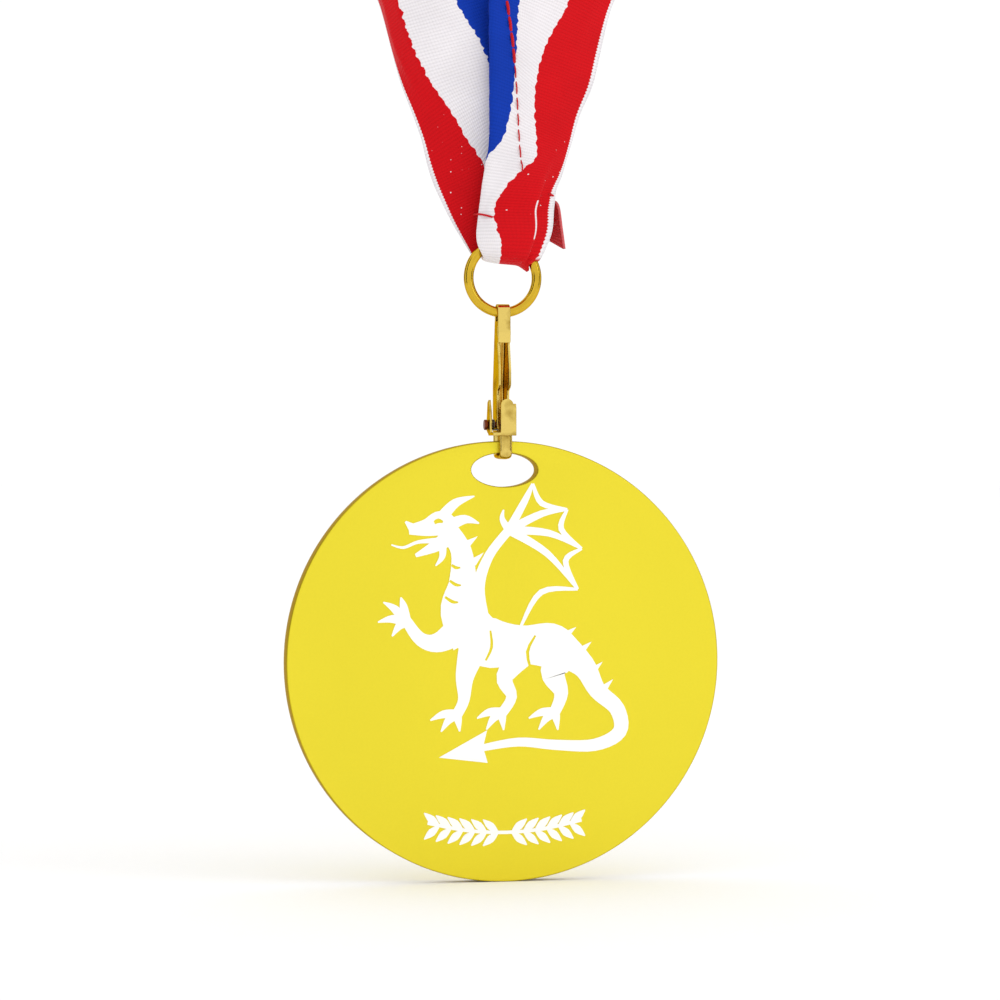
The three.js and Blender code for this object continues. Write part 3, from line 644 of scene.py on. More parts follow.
def front_point(height, c):
    """A point of the gathered front strand, in front of or behind its left fold."""
    share, fold, blue, red, lobe, edge, fold_depth, red_depth, lobe_depth, edge_depth = front_shape(height)
    blue_share = max(1 / 3, share + 0.05)
    pleat = float(np.clip((74 - height) / 5, 0, 1))
    shares = [share, blue_share, 2 / 3, 0.83, 0.83 + 0.06 * pleat + 0.01, 1.0]
    back = lobe - 1.3 * pleat + 0.1
    blue_depth = fold_depth + (red_depth - fold_depth) * (blue - fold) / max(red - fold, 0.5)
    xs = [fold, blue, red, lobe, back, edge]
    ys = [fold_depth, blue_depth, red_depth, lobe_depth, lobe_depth + 0.85 * pleat, edge_depth]
    if c >= share:
        rounding = min((c - share) * RIBBON_WIDTH / FOLD_RADIUS, math.pi / 2)
        x, y = np.interp(c, shares, xs), np.interp(c, shares, ys)
        return np.array([x, y + FOLD_RADIUS * (1 - math.sin(rounding)) + tuck(height, c), height])
    behind = (share - c) * RIBBON_WIDTH
    rounding = min(behind / FOLD_RADIUS, math.pi / 2)
    squeeze = float(np.interp(height, [62, 74, 97], [0.5, 0.62, 0.95]))
    x = fold + behind * squeeze
    slope = (lobe_depth - fold_depth) / (lobe - fold)
    y = fold_depth + FOLD_RADIUS * (1 + math.sin(rounding)) + (x - fold) * slope
    y = min(y, -1.25) if height < 63 else y
    return np.array([x, y, height])


def tuck(height, c):
    """How far the gathers stand in and out where the thread pulls the front cloth together."""
    close = math.exp(-(((height - 66.4) / 2.6) ** 2))
    return 0.2 * close * math.sin(2 * math.pi * (8.5 * c + 0.6 * math.sin(7 * c)))


def rear_point(height, c):
    """A point of the gathered rear strand."""
    values = rear_shape(height)
    shares = [0.0, 1 / 3, 2 / 3, 5 / 6, 1.0]
    x = np.interp(c, shares, values[4::-1])
    y = np.interp(c, shares, values[:4:-1])
    return np.array([x, y, height])


def row_slant(height, side):
    """How far a row of the cloth falls from its inner edge to its outer edge."""
    top = RIBBON_WIDTH * math.sin(LEAN)
    if side > 0:
        return top * float(np.interp(height, [66, 82], [0.0, 1.0]))
    return top * float(np.interp(height, [60, 66, 78, 92], [0.0, 1.1, 1.5, 1.0]))


def strand_point(distance, c, side):
    centre, _, plain = strap_point(distance, c)
    crossing = 1 - float(np.interp(centre[2], CROSS_FADE, [0, 1]))
    plain = plain * np.array([side, 1, 1]) - np.array([0, side * CROSS_DEPTH * crossing, 0])
    if centre[2] >= FREE_FROM or distance > STRAND:
        return plain
    height = centre[2] - (c - 0.5) * row_slant(centre[2], side)
    shape = front_point if side > 0 else rear_point
    gathered = shape(min(height, KNOT_TOP), c)
    gathered[2] = height
    above = max(height - KNOT_TOP, 0)
    gathered[0] += side * above * math.tan(LEAN)
    t = float(np.clip((centre[2] - KNOT_TOP + 4) / (FREE_FROM - KNOT_TOP + 4), 0, 1))
    blend = t * t * (3 - 2 * t)
    return gathered * (1 - blend) + plain * blend


def loop_point(turn, c):
    """The loop under the ring's wire, from the front at turn 0 to the back at turn 1."""
    start = front_point(FRONT_FOOT, c)
    hidden = float(np.clip((0.5 - c) / 0.08, 0, 1))
    shares = [0.0, 0.45, 2 / 3, 0.83, 1.0]
    low_x = np.interp(c, shares, [1.5, -3.2, -0.8, 2.4, 3.9])
    low_z = np.interp(c, shares, [59.3, 59.2, 58.75, 58.55, 57.6])
    end = np.interp(c, [0, 2 / 3, 1], [-3.0, 1.4, 4.2])
    end_y = 2.9 - 0.2 * c
    angle = math.pi * turn
    side_x = start[0] if turn <= 0.5 else end
    x = low_x + (side_x - low_x) * (1 - math.sin(angle))
    middle, half = (start[1] + end_y) / 2, (end_y - start[1]) / 2
    low_z += 0.45 * hidden
    top = FRONT_FOOT + (TAIL_FOOT - FRONT_FOOT) * turn
    return np.array([x, middle - half * math.cos(angle), top - (top - low_z) * math.sin(angle) ** 0.75])


def tail_point(t, c):
    """The tail, from the back of the loop at t 0 to its cut end at t 1."""
    corners = tail_shape(t * (len(TAIL) - 1)).reshape(3, 3)
    if c < 2 / 3:
        return corners[0] + (corners[1] - corners[0]) * c * 1.5
    return corners[1] + (corners[2] - corners[1]) * (c * 3 - 2)


def ribbon_rows(columns):
    """Rows of points from the tail's cut end, round the loop, up the front strand, round the nape and down
    the rear strand to its foot."""
    shares = [j / (columns - 1) for j in range(columns)]
    rows = [[tail_point(1 - i / TAIL_ROWS, c) for c in shares] for i in range(TAIL_ROWS)]
    rows += [[loop_point(1 - i / LOOP_ROWS, c) for c in shares] for i in range(LOOP_ROWS)]
    fine_end = (FINE_TOP - FOOT) / math.cos(LEAN)
    strap = list(np.linspace(fine_end, HALF_RIBBON, STRAP_ROWS))
    climbs = list(np.linspace((FRONT_FOOT - FOOT) / math.cos(LEAN), fine_end, KNOT_ROWS)) + strap[1:]
    rows += [[strand_point(d, c, 1) for c in shares] for d in climbs]
    falls = list(np.linspace((REAR_FOOT - FOOT) / math.cos(LEAN), fine_end, KNOT_ROWS)) + strap[1:-1]
    rows += [[strand_point(d, c, -1) for c in shares] for d in reversed(falls)]
    return np.array(rows)


def relax(rows, rounds, weight):
    """Lets the drawn cloth settle: each point moves towards the middle of its neighbours, by its weight."""
    for _ in range(rounds):
        middle = rows.copy()
        middle[:, 1:-1] += (rows[:, :-2] + rows[:, 2:] - 2 * rows[:, 1:-1]) * 0.25
        middle[1:-1] += (rows[:-2] + rows[2:] - 2 * rows[1:-1]) * 0.25
        rows = rows + (middle - rows) * weight[:, :, None]
    return rows


# How far the ring swings each way, in degrees.
RING_SWING = 20
# Room between the wire and the middle of the cloth: half its thickness, and a little air.
WIRE_ROOM = 0.3


def clear_wire(rows):
    """Moves the cloth of the loop out of the space that the ring's wire sweeps as the ring swings."""
    top = RING_CENTRE + RING_RADIUS
    room = WIRE_RADIUS + WIRE_ROOM
    for angle in np.radians(np.linspace(-RING_SWING, RING_SWING, 17)):
        cos, sin = math.cos(angle), math.sin(angle)
        x, y, z = rows[..., 0], rows[..., 1], rows[..., 2] - top
        across, up = y * cos + z * sin, -y * sin + z * cos + RING_RADIUS
        reach = np.maximum(np.hypot(x, up), 1e-6)
        near_x, near_up = x / reach * RING_RADIUS, up / reach * RING_RADIUS
        gap = np.maximum(np.sqrt((x - near_x) ** 2 + across**2 + (up - near_up) ** 2), 1e-6)
        push = np.maximum(room / gap, 1)
        x, across = near_x + (x - near_x) * push, across * push
        up = near_up + (up - near_up) * push - RING_RADIUS
        rows = np.stack([x, across * cos - up * sin, across * sin + up * cos + top], axis=-1)
    return rows


def grid_mesh(name, rows, uv, attributes):
    """A sheet mesh through rows of points, in the frame, with its cloth coordinates and point attributes."""
    count, columns = rows.shape[:2]
    points = [mm(*p) for p in rows.reshape(-1, 3)]
    faces = [
        (i * columns + j, i * columns + j + 1, (i + 1) * columns + j + 1, (i + 1) * columns + j)
        for i in range(count - 1) for j in range(columns - 1)
    ]
    mesh = bpy.data.meshes.new(name)
    mesh.from_pydata(points, [], faces)
    layer = mesh.uv_layers.new(name="cloth")
    flat = uv.reshape(-1, 2)
    for loop in mesh.loops:
        layer.data[loop.index].uv = flat[loop.vertex_index]
    for key, values in attributes.items():
        attribute = mesh.attributes.new(key, "FLOAT", "POINT")
        attribute.data.foreach_set("value", values.astype(np.float32).ravel())
    piece = bpy.data.objects.new(name, mesh)
    bpy.context.scene.collection.objects.link(piece)
    return piece


RIBBON_COLUMNS = 61
# The rows of cloth that lie near the ring's wire.
NEAR_WIRE = slice(36, 92)


@functools.cache
def ribbon_surface():
    """The ribbon's settled rows, with the cloth coordinates of each point."""
    rows = ribbon_rows(RIBBON_COLUMNS)
    near_knot = np.clip((84 - rows[:, :, 2]) / 12, 0, 1)
    rows = relax(rows, 5, 0.25 + 0.6 * near_knot)
    for _ in range(6):
        rows[NEAR_WIRE] = relax(clear_wire(rows[NEAR_WIRE]), 1, 0.5 * near_knot[NEAR_WIRE])
    rows[NEAR_WIRE] = clear_wire(clear_wire(rows[NEAR_WIRE]))
    steps = np.linalg.norm(np.diff(rows, axis=0), axis=2).mean(axis=1)
    along = np.concatenate([[0], np.cumsum(steps)])
    shares = np.linspace(0, RIBBON_WIDTH, RIBBON_COLUMNS)
    uv = np.stack([np.broadcast_to(shares, rows.shape[:2]), np.broadcast_to(along[:, None], rows.shape[:2])], 2)
    return rows, uv


def front_at(rows, x, z):
    """The depth of the cloth's front at a place on the knot."""
    near = rows.reshape(-1, 3)
    distance = np.hypot(near[:, 0] - x, near[:, 2] - z)
    close = near[distance < 0.6]
    return float(close[:, 1].min()) if len(close) else -1.0


# The fold along which a pale line is painted as its highlight, as a share of the width, and how far up it goes.
HIGHLIGHT_FOLD = 0.836
HIGHLIGHT_TOP = 68


class MEDAL_OT_neck_ribbon(bpy.types.Operator):
    """Lays the printed ribbon in its V, gathers its ends and takes them through the ring"""

    bl_idname = "medal.neck_ribbon"
    bl_label = "Neck Ribbon"

    def execute(self, context):
        settings = context.scene.medal_ribbon
        rows, uv = ribbon_surface()
        height = rows[:, :, 2]
        share = uv[:, :, 0] / RIBBON_WIDTH
        crease = np.clip(1 - np.abs(height - 70) / 14, 0, 1) ** 0.6 * (share > 0.62)
        strand_rows = np.arange(len(rows))[:, None]
        on_front = (strand_rows > FRONT_START) & (strand_rows < FRONT_START + 60)
        # Painted highlight: a pale line down the front strand's fold, below a set height.
        worn = np.clip(1 - np.abs(share - HIGHLIGHT_FOLD) * RIBBON_WIDTH / 0.9, 0, 1)
        worn = worn * on_front * (height < HIGHLIGHT_TOP)
        inked = np.broadcast_to((strand_rows < FRONT_START - 4) * 1.0, share.shape)
        ribbon = grid_mesh("neck_ribbon_cloth", rows, uv, {"crease": crease, "worn": worn, "inked": inked})
        ribbon.data.materials.append(ribbon_material("polyester_grosgrain_printed_face", settings, 1.0))
        ribbon.data.materials.append(ribbon_material("polyester_grosgrain_printed_reverse", settings, 0.86))
        modify(
            ribbon, "SOLIDIFY", thickness=settings.thickness, offset=0.0, material_offset=1,
            material_offset_rim=1, use_even_offset=False,
        )
        for face in ribbon.data.polygons:
            face.use_smooth = True
        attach(ribbon, "ribbon")
        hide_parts("neck_ribbon")
        return {"FINISHED"}


def tube_along(name, points, radius, sides=8, closed=False):
    """A round thread through points, as a mesh with closed ends."""
    curve = bpy.data.curves.new(name, "CURVE")
    curve.dimensions = "3D"
    spline = curve.splines.new("POLY")
    spline.points.add(len(points) - 1)
    for knot, point in zip(spline.points, points):
        knot.co = (*mm(*point), 1)
    spline.use_cyclic_u = closed
    curve.bevel_depth = radius * MM
    curve.bevel_resolution = max(0, sides // 2 - 2)
    curve.use_fill_caps = not closed
    piece = bpy.data.objects.new(name, curve)
    bpy.context.scene.collection.objects.link(piece)
    only(piece)
    bpy.ops.object.convert(target="MESH")
    return bpy.context.object


# The seam's line down the front strand, as places across and heights.
SEAM = [
    (0.3, 102.0), (0.4, 98.0), (1.0, 94.0), (1.45, 90.8), (1.7, 88.0), (1.95, 84.7), (2.1, 81.0),
    (2.25, 76.6), (2.35, 73.2),
]
STITCH = {"pitch": 2.35, "length": 1.95, "radius": 0.23, "lower_radius": 0.11, "fine_below": 89}


class MEDAL_OT_seam_stitches(bpy.types.Operator):
    """Sews the two strands together with a row of stitches down the front"""

    bl_idname = "medal.seam_stitches"
    bl_label = "Seam Stitches"

    def execute(self, context):
        rows, _ = ribbon_surface()
        surface = rows[FRONT_START:FRONT_START + 2 * KNOT_ROWS].reshape(-1, 3)
        heights = [z for _, z in SEAM][::-1]
        places = [x for x, _ in SEAM][::-1]
        stitches = []
        z = heights[-1]
        while z > heights[0] + 0.5:
            run = []
            for i in range(9):
                h = z - STITCH["length"] * i / 8
                x = float(np.interp(h, heights, places))
                close = surface[np.hypot(surface[:, 0] - x, surface[:, 2] - h) < 0.5]
                ends = math.sin(math.pi * i / 8)
                lift = 0.2 + 0.16 * ends - 0.22 * (1 - ends)
                run.append((x, float(close[:, 1].min()) - lift, h))
            radius = STITCH["radius"] if z > STITCH["fine_below"] else STITCH["lower_radius"]
            stitches.append(tube_along("stitch", run, radius))
            z -= STITCH["pitch"]
        whole = only(*stitches)
        bpy.ops.object.join()
        finish_piece(
            whole, "seam_stitches", thread_material(context.scene.medal_ribbon), "ribbon",
            ["seam_thread"], 60,
        )
        return {"FINISHED"}


# The binding goes round the gathers, and sinks into the red cloth between the hidden places.
BINDING = {
    "left": -4.35, "right": 7.9, "radius": 0.15, "heights": [65.9, 65.2, 69.1, 68.6],
    "hidden": [-2.3, -1.7, 6.3, 6.7],
}


class MEDAL_OT_loop_binding(bpy.types.Operator):
    """Binds the gathered cloth above the ring with a turn of thread"""

    bl_idname = "medal.loop_binding"
    bl_label = "Loop Binding"

    def execute(self, context):
        rows, _ = ribbon_surface()
        left, right = BINDING["left"], BINDING["right"]
        front = []
        for x in np.linspace(left, right, 48):
            z = float(np.interp(x, [left, -1.6, 6.4, right], BINDING["heights"]))
            sunk = float(np.interp(x, BINDING["hidden"], [0.0, 1.0, 1.0, 0.0]))
            depth = front_at(rows, float(np.clip(x, left + 0.5, right - 0.4)), z)
            front.append((x, depth - 0.28 + 0.85 * sunk, z))
        back = [
            (right + 0.3 + (left - right - 0.5) * t, 4.6 + 1.0 * math.sin(math.pi * t), 68.6 - 2.7 * t)
            for t in np.linspace(0, 1, 12)
        ]
        loop = np.array(front + back)
        for _ in range(3):
            loop = (np.roll(loop, 1, 0) + 2 * loop + np.roll(loop, -1, 0)) / 4
        binding = tube_along("binding", [tuple(p) for p in loop], BINDING["radius"], 8, closed=True)
        finish_piece(
            binding, "loop_binding_thread", bpy.data.materials["sewing_thread_spun_polyester"], "ribbon",
            ["loop_binding"], 60,
        )
        return {"FINISHED"}


# ---------------------------------------------------------------- metal pieces

RING_STEPS = 160


class MEDAL_OT_jump_ring(bpy.types.Operator):
    """Turns the jump ring from round wire, with the fine line where its ends butt together"""

    bl_idname = "medal.jump_ring"
    bl_label = "Jump Ring"

    def execute(self, context):
        clear_selection()
        centre = mm(0, 0, RING_CENTRE)
        bpy.ops.mesh.primitive_torus_add(
            major_radius=RING_RADIUS * MM, minor_radius=WIRE_RADIUS * MM, major_segments=RING_STEPS,
            minor_segments=28, location=centre, rotation=(math.pi / 2, 0, 0),
        )
        ring = context.object
        bpy.ops.object.transform_apply(location=True, rotation=True, scale=True)
        bpy.ops.object.mode_set(mode="EDIT")
        joint = math.radians(62)
        step = 2 * math.pi / RING_STEPS

        def at_joint(place, _):
            offset = place - centre
            return abs(math.atan2(offset.x, offset.z) - joint) < step * 0.6

        select_where(at_joint, "vertices")
        bpy.ops.transform.shrink_fatten(value=-0.07 * MM)
        bpy.ops.object.mode_set(mode="OBJECT")
        finish_piece(ring, "jump_ring_wire", wire_material(context.scene.medal_metals), "ring",
                     ["jump_ring"], 60)
        return {"FINISHED"}


SHEET = 0.38
HALF_HOOK = 0.95
WIRE_BOTTOM = RING_CENTRE - RING_RADIUS
EYE_INNER = WIRE_RADIUS + 0.13
EYE_OUTER = EYE_INNER + SHEET
SPINE_BACK = 2.65
PIVOT = (0.6, 34.9)
BAR_Y = 2.35
BAR_LOW = 30.22
BAR_HALF = (0.925, 0.41)
BAR_BEND = 0.85
BAR_TOP, BAR_TIP = 37.5, 33.4


def bar_solid():
    """The flattened bar: an oval face is drawn down the back, turned under the disc's edge and up in front."""
    clear_selection()
    bpy.ops.mesh.primitive_circle_add(vertices=28, radius=MM, fill_type="NGON", location=mm(0, BAR_Y, BAR_TOP))
    bpy.ops.object.mode_set(mode="EDIT")
    bpy.ops.transform.resize(value=(BAR_HALF[0], BAR_HALF[1], 1))

    def draw(x, y, z):
        bpy.ops.mesh.extrude_region_move(TRANSFORM_OT_translate={"value": (x * MM, y * MM, z * MM)})

    draw(0, 0, BAR_LOW + BAR_BEND - BAR_TOP)
    for centre_y in (BAR_Y - BAR_BEND, -BAR_Y + BAR_BEND):
        for _ in range(8):
            bpy.ops.mesh.extrude_region_move()
            turn_selection(-math.pi / 16, mm(0, centre_y, BAR_LOW + BAR_BEND))
        if centre_y > 0:
            draw(0, -2 * (BAR_Y - BAR_BEND), 0)
    draw(0, 0, BAR_TIP - BAR_LOW - BAR_BEND)
    bpy.ops.mesh.extrude_region_move(TRANSFORM_OT_translate={"value": (0, 0, 0.25 * MM)})
    bpy.ops.transform.resize(value=(0.8, 0.6, 1))
    bpy.ops.mesh.select_all(action="SELECT")
    bpy.ops.mesh.normals_make_consistent(inside=False)
    bpy.ops.object.mode_set(mode="OBJECT")
    return bpy.context.object


def turn_selection(angle, centre):
    """Turns what is selected about an axis along X, from +Y towards +Z for a positive angle."""
    bpy.ops.transform.rotate(value=-angle, orient_axis="X", center_override=centre)


class MEDAL_OT_hook_body(bpy.types.Operator):
    """Folds the hook's body from sheet: the eye round the ring, the channel, and the bar through the disc"""

    bl_idname = "medal.hook_body"
    bl_label = "Hook Body"

    def execute(self, context):
        tongue = [(-EYE_OUTER, 47.0), (-EYE_OUTER - 0.12, 48.6), (-EYE_OUTER + 0.05, 49.6)]
        outer = arc((0, WIRE_BOTTOM), EYE_OUTER, 180, 0, 20)
        back = [(EYE_OUTER, WIRE_BOTTOM - 2.4), (EYE_INNER, WIRE_BOTTOM - 2.4)]
        inner = arc((0, WIRE_BOTTOM), EYE_INNER, 0, 180, 20)
        front = [(-EYE_INNER - 0.05, 49.6), (-EYE_OUTER + SHEET - 0.12, 48.6), (-EYE_OUTER + SHEET, 47.0)]
        eye = plate(tongue + outer + back + inner + front, -HALF_HOOK, HALF_HOOK, "side")
        spine = plate([
            (EYE_OUTER - SHEET, 50.6), (EYE_OUTER, 50.6), (SPINE_BACK, 41), (SPINE_BACK, 33.5),
            (SPINE_BACK - SHEET, 33.5), (SPINE_BACK - SHEET, 41),
        ], -HALF_HOOK, HALF_HOOK, "side")
        outline = [
            (EYE_OUTER - 0.05, 50.2), (-0.76, 50.2), (-0.76, 47.0), (-1.3, 44.8), (-1.7, 43.0), (-1.7, 40.8),
            (-1.2, 40.3), (-0.5, 40.0), (-0.3, 39.3), (-0.4, 35.2),
            *arc(PIVOT, 1.0, 171, 270, 8), (SPINE_BACK - 0.05, 33.9), (SPINE_BACK - 0.05, 41),
        ]
        cheeks = [
            plate(outline, -HALF_HOOK, -HALF_HOOK + SHEET, "side"),
            plate(outline, HALF_HOOK - SHEET, HALF_HOOK, "side"),
        ]
        hook = melt([eye, spine, *cheeks, bar_solid()], 0.07, 3)
        finish_piece(hook, "hook_body_stamped", plated_material(context.scene.medal_metals), "hook",
                     ["hook_body"], 60)
        return {"FINISHED"}


GATE_FACE = -2.95
GATE_FRONT = GATE_FACE - SHEET
GATE_FOOT = 33.3
GATE_TOP = 38.7
GATE_STEP = 33.75
EAR = (-2.1, -1.75)
WALL = (1.02, 1.38)


class MEDAL_OT_hook_gate(bpy.types.Operator):
    """Folds the thumb gate: its face, its right wall and the ear that stands off on the left"""

    bl_idname = "medal.hook_gate"
    bl_label = "Hook Gate"

    def execute(self, context):
        face = plate(
            [(-HALF_HOOK, GATE_FOOT), (WALL[1], GATE_FOOT), (WALL[1], GATE_TOP - 1.2),
             *arc((0, GATE_TOP - HALF_HOOK), HALF_HOOK, 0, 180, 14)],
            GATE_FRONT, GATE_FACE, "front",
        )
        bridge = plate(
            [(EAR[0], GATE_FOOT), (0, GATE_FOOT), (0, GATE_STEP), (EAR[0], GATE_STEP)],
            GATE_FRONT, GATE_FACE, "front",
        )
        set_back = GATE_FRONT + 0.16
        wall = plate([
            (set_back, GATE_FOOT), (set_back + 0.9, GATE_FOOT), (-0.4, 34.0), *arc(PIVOT, 1.0, 216, 450, 16),
            (-1.2, 37.6), (set_back, 38.0),
        ], *WALL, "side")
        ear = plate([
            (GATE_FRONT, GATE_FOOT), (0.2, GATE_FOOT), *arc(PIVOT, 1.25, 270, 400, 12), (1.0, 38.2), (0.2, 38.6),
            (-0.55, 37.0), (-0.85, 35.4), (-0.8, 34.3), (-1.2, GATE_STEP), (GATE_FRONT, GATE_STEP),
        ], *EAR, "side")
        gate = melt([face, bridge, wall, ear], 0.05, 3)
        plated = bpy.data.materials["steel_gold_plated_tumbled"]
        finish_piece(gate, "hook_gate_folded", plated, "gate", ["hook_gate"], 60)
        return {"FINISHED"}


class MEDAL_OT_hook_rivet(bpy.types.Operator):
    """Heads the copper rivet on which the gate turns"""

    bl_idname = "medal.hook_rivet"
    bl_label = "Hook Rivet"

    def execute(self, context):
        clear_selection()
        head, shank, left, inner, right, end = 0.78, 0.45, -2.68, -2.18, 1.46, 1.74
        bpy.ops.mesh.primitive_cylinder_add(
            vertices=40, radius=head * MM, depth=(inner - left) * MM,
            location=mm((left + inner) / 2, *PIVOT), rotation=(0, math.pi / 2, 0),
        )
        rivet = context.object
        bpy.ops.object.transform_apply(location=True, rotation=True, scale=True)
        bpy.ops.object.mode_set(mode="EDIT")
        select_where(lambda place, normal: normal.x > 0.9)
        bpy.ops.mesh.inset(thickness=(head - shank) * MM)
        bpy.ops.mesh.extrude_region_move(TRANSFORM_OT_translate={"value": ((right - inner) * MM, 0, 0)})
        bpy.ops.mesh.extrude_region_move()
        bpy.ops.transform.resize(value=(1, 0.66 / shank, 0.66 / shank), center_override=mm(right, *PIVOT))
        bpy.ops.mesh.extrude_region_move(TRANSFORM_OT_translate={"value": ((end - right) * MM, 0, 0)})
        bpy.ops.object.mode_set(mode="OBJECT")
        modify(rivet, "BEVEL", width=0.13 * MM, segments=4, limit_method="ANGLE", angle_limit=math.radians(40))
        finish_piece(rivet, "hook_rivet_pin", copper_material(context.scene.medal_metals), "hook",
                     ["hook_rivet"])
        return {"FINISHED"}


class MEDAL_OT_gate_spring(bpy.types.Operator):
    """Winds the small torsion spring between the ear and the channel"""

    bl_idname = "medal.gate_spring"
    bl_label = "Gate Spring"

    def execute(self, context):
        coil, wire, turns, start, end = 0.72, 0.11, 2.25, -1.62, -1.1
        y, z = PIVOT
        points = [(start, y + coil, z + 2.3), (start, y + coil, z + 1.4), (start, y + coil, z + 0.5)]
        steps = 72
        for i in range(steps + 1):
            turn = 2 * math.pi * turns * i / steps
            x = start + (end - start) * i / steps
            points.append((x, y + coil * math.cos(turn), z - coil * math.sin(turn)))
        points += [(end, y - 1.0, z - coil), (end, y - 2.6, z - coil)]
        spring = tube_along("spring", points, wire, 10)
        steel = spring_material(context.scene.medal_metals)
        finish_piece(spring, "gate_spring_coil", steel, "hook", ["gate_spring"], 60)
        return {"FINISHED"}


HOLE_HEIGHT, HOLE_WIDE, HOLE_TALL = 28.25, 10.0, 5.0


class MEDAL_OT_disc(bpy.types.Operator):
    """Blanks the disc, pierces its oval hole and breaks every edge"""

    bl_idname = "medal.disc"
    bl_label = "Medal Disc"

    def execute(self, context):
        metals = context.scene.medal_metals
        clear_selection()
        bpy.ops.mesh.primitive_cylinder_add(
            vertices=256, radius=DISC_RADIUS * MM, depth=DISC_THICK * MM,
            location=ORIGIN, rotation=(math.pi / 2, 0, 0),
        )
        disc = context.object
        bpy.ops.object.transform_apply(location=True, rotation=True, scale=True)
        clear_selection()
        bpy.ops.mesh.primitive_cylinder_add(
            vertices=96, radius=HOLE_WIDE / 2 * MM, depth=3 * DISC_THICK * MM, location=mm(0, 0, HOLE_HEIGHT),
            rotation=(math.pi / 2, 0, 0),
        )
        punch = context.object
        bpy.ops.object.transform_apply(location=False, rotation=True, scale=True)
        bpy.ops.transform.resize(value=(1, 1, HOLE_TALL / HOLE_WIDE))
        bpy.ops.object.transform_apply(location=True, rotation=True, scale=True)
        modify(disc, "BOOLEAN", operation="DIFFERENCE", object=punch, solver="EXACT")
        bpy.data.objects.remove(punch)
        modify(
            disc, "BEVEL", width=metals.edge_round, segments=4, limit_method="ANGLE",
            angle_limit=math.radians(50),
        )
        finish_piece(disc, "medal_disc_blank", disc_material(metals), "disc", ["medal_disc"], 30)
        return {"FINISHED"}


class MEDAL_OT_print(bpy.types.Operator):
    """Prints the dragon and the laurel sprigs in white ink"""

    bl_idname = "medal.print"
    bl_label = "Printed Figures"

    def execute(self, context):
        ink = ink_material(context.scene.medal_metals)
        for node in ("dragon_motif", "sprig_motif"):
            only(frame["nodes"][node])
            bpy.ops.object.duplicate()
            figure = context.object
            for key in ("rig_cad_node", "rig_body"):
                if key in figure:
                    del figure[key]
            figure.parent = None
            figure.data = figure.data.copy()
            bpy.ops.object.mode_set(mode="EDIT")
            bpy.ops.mesh.select_all(action="SELECT")
            bpy.ops.mesh.remove_doubles(threshold=MERGE)
            bpy.ops.object.mode_set(mode="OBJECT")
            finish_piece(figure, node.replace("motif", "ink"), ink, "disc", [node], 0, False)
        return {"FINISHED"}


# ---------------------------------------------------------------- stage

# The dark cards' bearings round the disc, and their distance, height and size in metres.
CARDS = {"bearings": (-118, -64, 60, 118), "reach": 0.7, "rise": 0.15, "size": (0.26, 0.9, 1.0)}
# Each light's place from the disc's centre, its size and its power.
LIGHTS = {"key_light": ((0.9, -0.65, 0.42), 0.5, 1.6), "fill_light": ((-0.8, -0.7, 0.5), 0.6, 0.3)}
# The lights aim at this height above the disc's centre, in metres.
LIT_HEIGHT = 0.05
# Millimetres that the camera takes in from side to side, and the place it looks at.
VIEW_WIDTH = 147.7
VIEW_CENTRE = (-0.4, 0, 23.8)
SURROUND_STRENGTH = 1.03


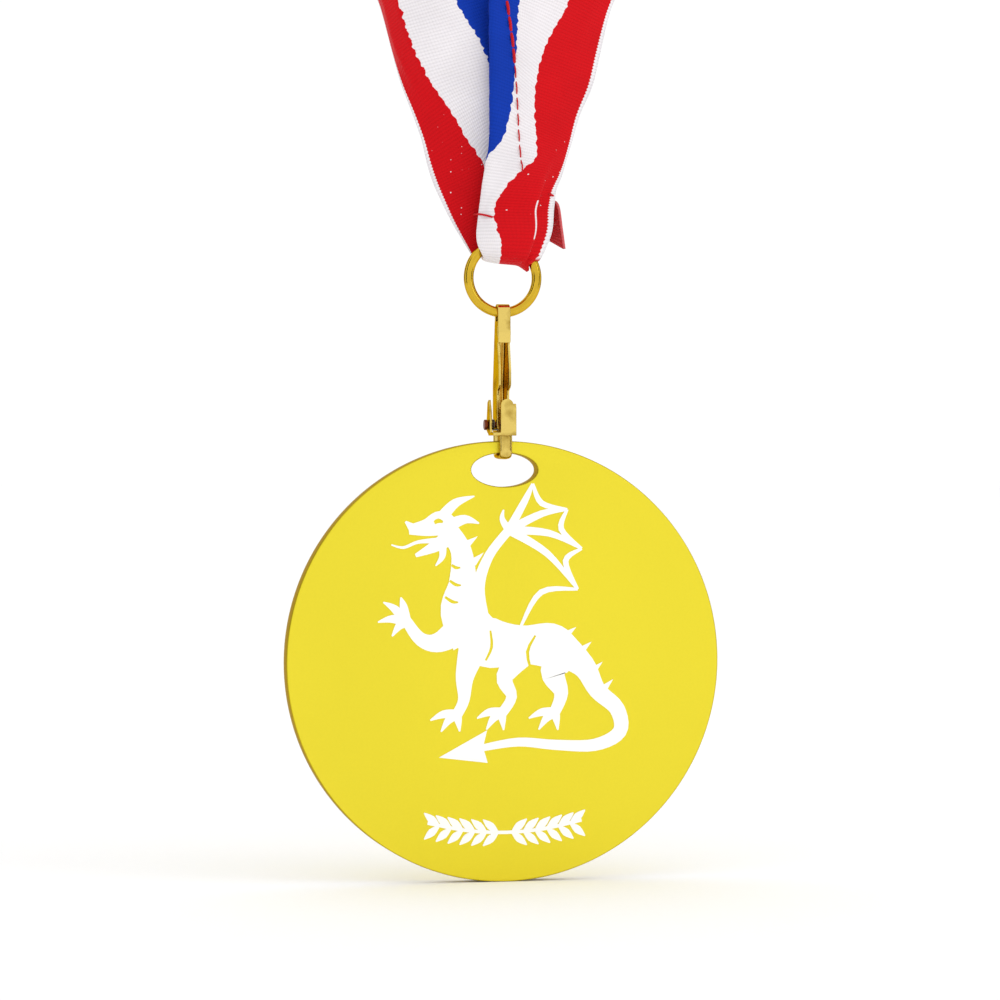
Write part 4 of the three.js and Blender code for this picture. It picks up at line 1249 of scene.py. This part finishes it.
class MEDAL_OT_stage(bpy.types.Operator):
    """Sets the floor, the soft studio light and the camera"""

    bl_idname = "medal.stage"
    bl_label = "Stage"

    def execute(self, context):
        settings = context.scene.medal_stage
        scene = context.scene
        clear_selection()
        bpy.ops.mesh.primitive_circle_add(
            vertices=96, radius=6.0, fill_type="NGON", location=(ORIGIN.x, ORIGIN.y, DISC_LOW.z)
        )
        floor = context.object
        floor.name = "stage_floor"
        floor.data.materials.append(floor_material(settings))
        world = bpy.data.worlds.new("studio_surround")
        scene.world = world
        world.use_nodes = True
        background = world.node_tree.nodes["Background"]
        background.inputs["Color"].default_value = (*settings.surround, 1)
        background.inputs["Strength"].default_value = SURROUND_STRENGTH
        # Dark cards stand round the set, out of sight, so that bright metal has dark bands to mirror.
        felt = felt_material()
        for degrees in CARDS["bearings"]:
            clear_selection()
            angle = math.radians(degrees)
            reach = CARDS["reach"]
            place = ORIGIN + Vector((reach * math.sin(angle), -reach * math.cos(angle), CARDS["rise"]))
            bpy.ops.mesh.primitive_plane_add(size=1, location=place, rotation=(math.pi / 2, 0, angle))
            card = context.object
            card.name = f"stage_card_{degrees % 360}"
            card.scale = CARDS["size"]
            card.data.materials.append(felt)
            card.visible_camera = False
            card.visible_diffuse = False
            card.visible_shadow = False
        target = ORIGIN + Vector((0, 0, LIT_HEIGHT))
        for name, (place, size, power) in LIGHTS.items():
            light = bpy.data.lights.new(name, "AREA")
            light.shape = "SQUARE"
            light.size = size
            light.energy = power
            lamp = bpy.data.objects.new(name, light)
            scene.collection.objects.link(lamp)
            lamp.location = ORIGIN + Vector(place)
            lamp.rotation_euler = (target - lamp.location).to_track_quat("-Z", "Y").to_euler()
        camera_data = bpy.data.cameras.new("camera")
        camera_data.lens = settings.lens
        camera = bpy.data.objects.new("camera", camera_data)
        scene.collection.objects.link(camera)
        distance = VIEW_WIDTH * MM * camera_data.lens / camera_data.sensor_width
        a, e = settings.azimuth, settings.elevation
        back = Vector((math.sin(a) * math.cos(e), -math.cos(a) * math.cos(e), math.sin(e)))
        camera.location = mm(*VIEW_CENTRE) + back * distance
        camera.rotation_euler = (-back).to_track_quat("-Z", "Y").to_euler()
        camera_data.clip_start = 0.01
        scene.camera = camera
        scene.view_settings.view_transform = "Standard"
        return {"FINISHED"}


class MEDAL_PT_panel(bpy.types.Panel):
    """Lists the pieces of the medal"""

    bl_label = "Medal"
    bl_idname = "MEDAL_PT_panel"
    bl_space_type = "VIEW_3D"
    bl_region_type = "UI"
    bl_category = "Medal"

    def draw(self, context):
        for settings in (context.scene.medal_ribbon, context.scene.medal_metals, context.scene.medal_stage):
            box = self.layout.box()
            for name in settings.__annotations__:
                box.prop(settings, name)
        for operator in OPERATORS:
            self.layout.operator(operator.bl_idname)


OPERATORS = (
    MEDAL_OT_stage,
    MEDAL_OT_jump_ring,
    MEDAL_OT_neck_ribbon,
    MEDAL_OT_seam_stitches,
    MEDAL_OT_loop_binding,
    MEDAL_OT_hook_body,
    MEDAL_OT_hook_gate,
    MEDAL_OT_hook_rivet,
    MEDAL_OT_gate_spring,
    MEDAL_OT_disc,
    MEDAL_OT_print,
)
CLASSES = (RibbonSettings, MetalSettings, StageSettings, *OPERATORS, MEDAL_PT_panel)


def register():
    for cls in CLASSES:
        bpy.utils.register_class(cls)
    bpy.types.Scene.medal_ribbon = bpy.props.PointerProperty(type=RibbonSettings)
    bpy.types.Scene.medal_metals = bpy.props.PointerProperty(type=MetalSettings)
    bpy.types.Scene.medal_stage = bpy.props.PointerProperty(type=StageSettings)


def unregister():
    del bpy.types.Scene.medal_stage
    del bpy.types.Scene.medal_metals
    del bpy.types.Scene.medal_ribbon
    for cls in reversed(CLASSES):
        bpy.utils.unregister_class(cls)


def main():
    register()
    bpy.ops.medal.stage()
    bpy.ops.medal.jump_ring()
    bpy.ops.medal.neck_ribbon()
    bpy.ops.medal.seam_stitches()
    bpy.ops.medal.loop_binding()
    bpy.ops.medal.hook_body()
    bpy.ops.medal.hook_gate()
    bpy.ops.medal.hook_rivet()
    bpy.ops.medal.gate_spring()
    bpy.ops.medal.disc()
    bpy.ops.medal.print()
    clear_selection()


if __name__ == "__main__":
    main()
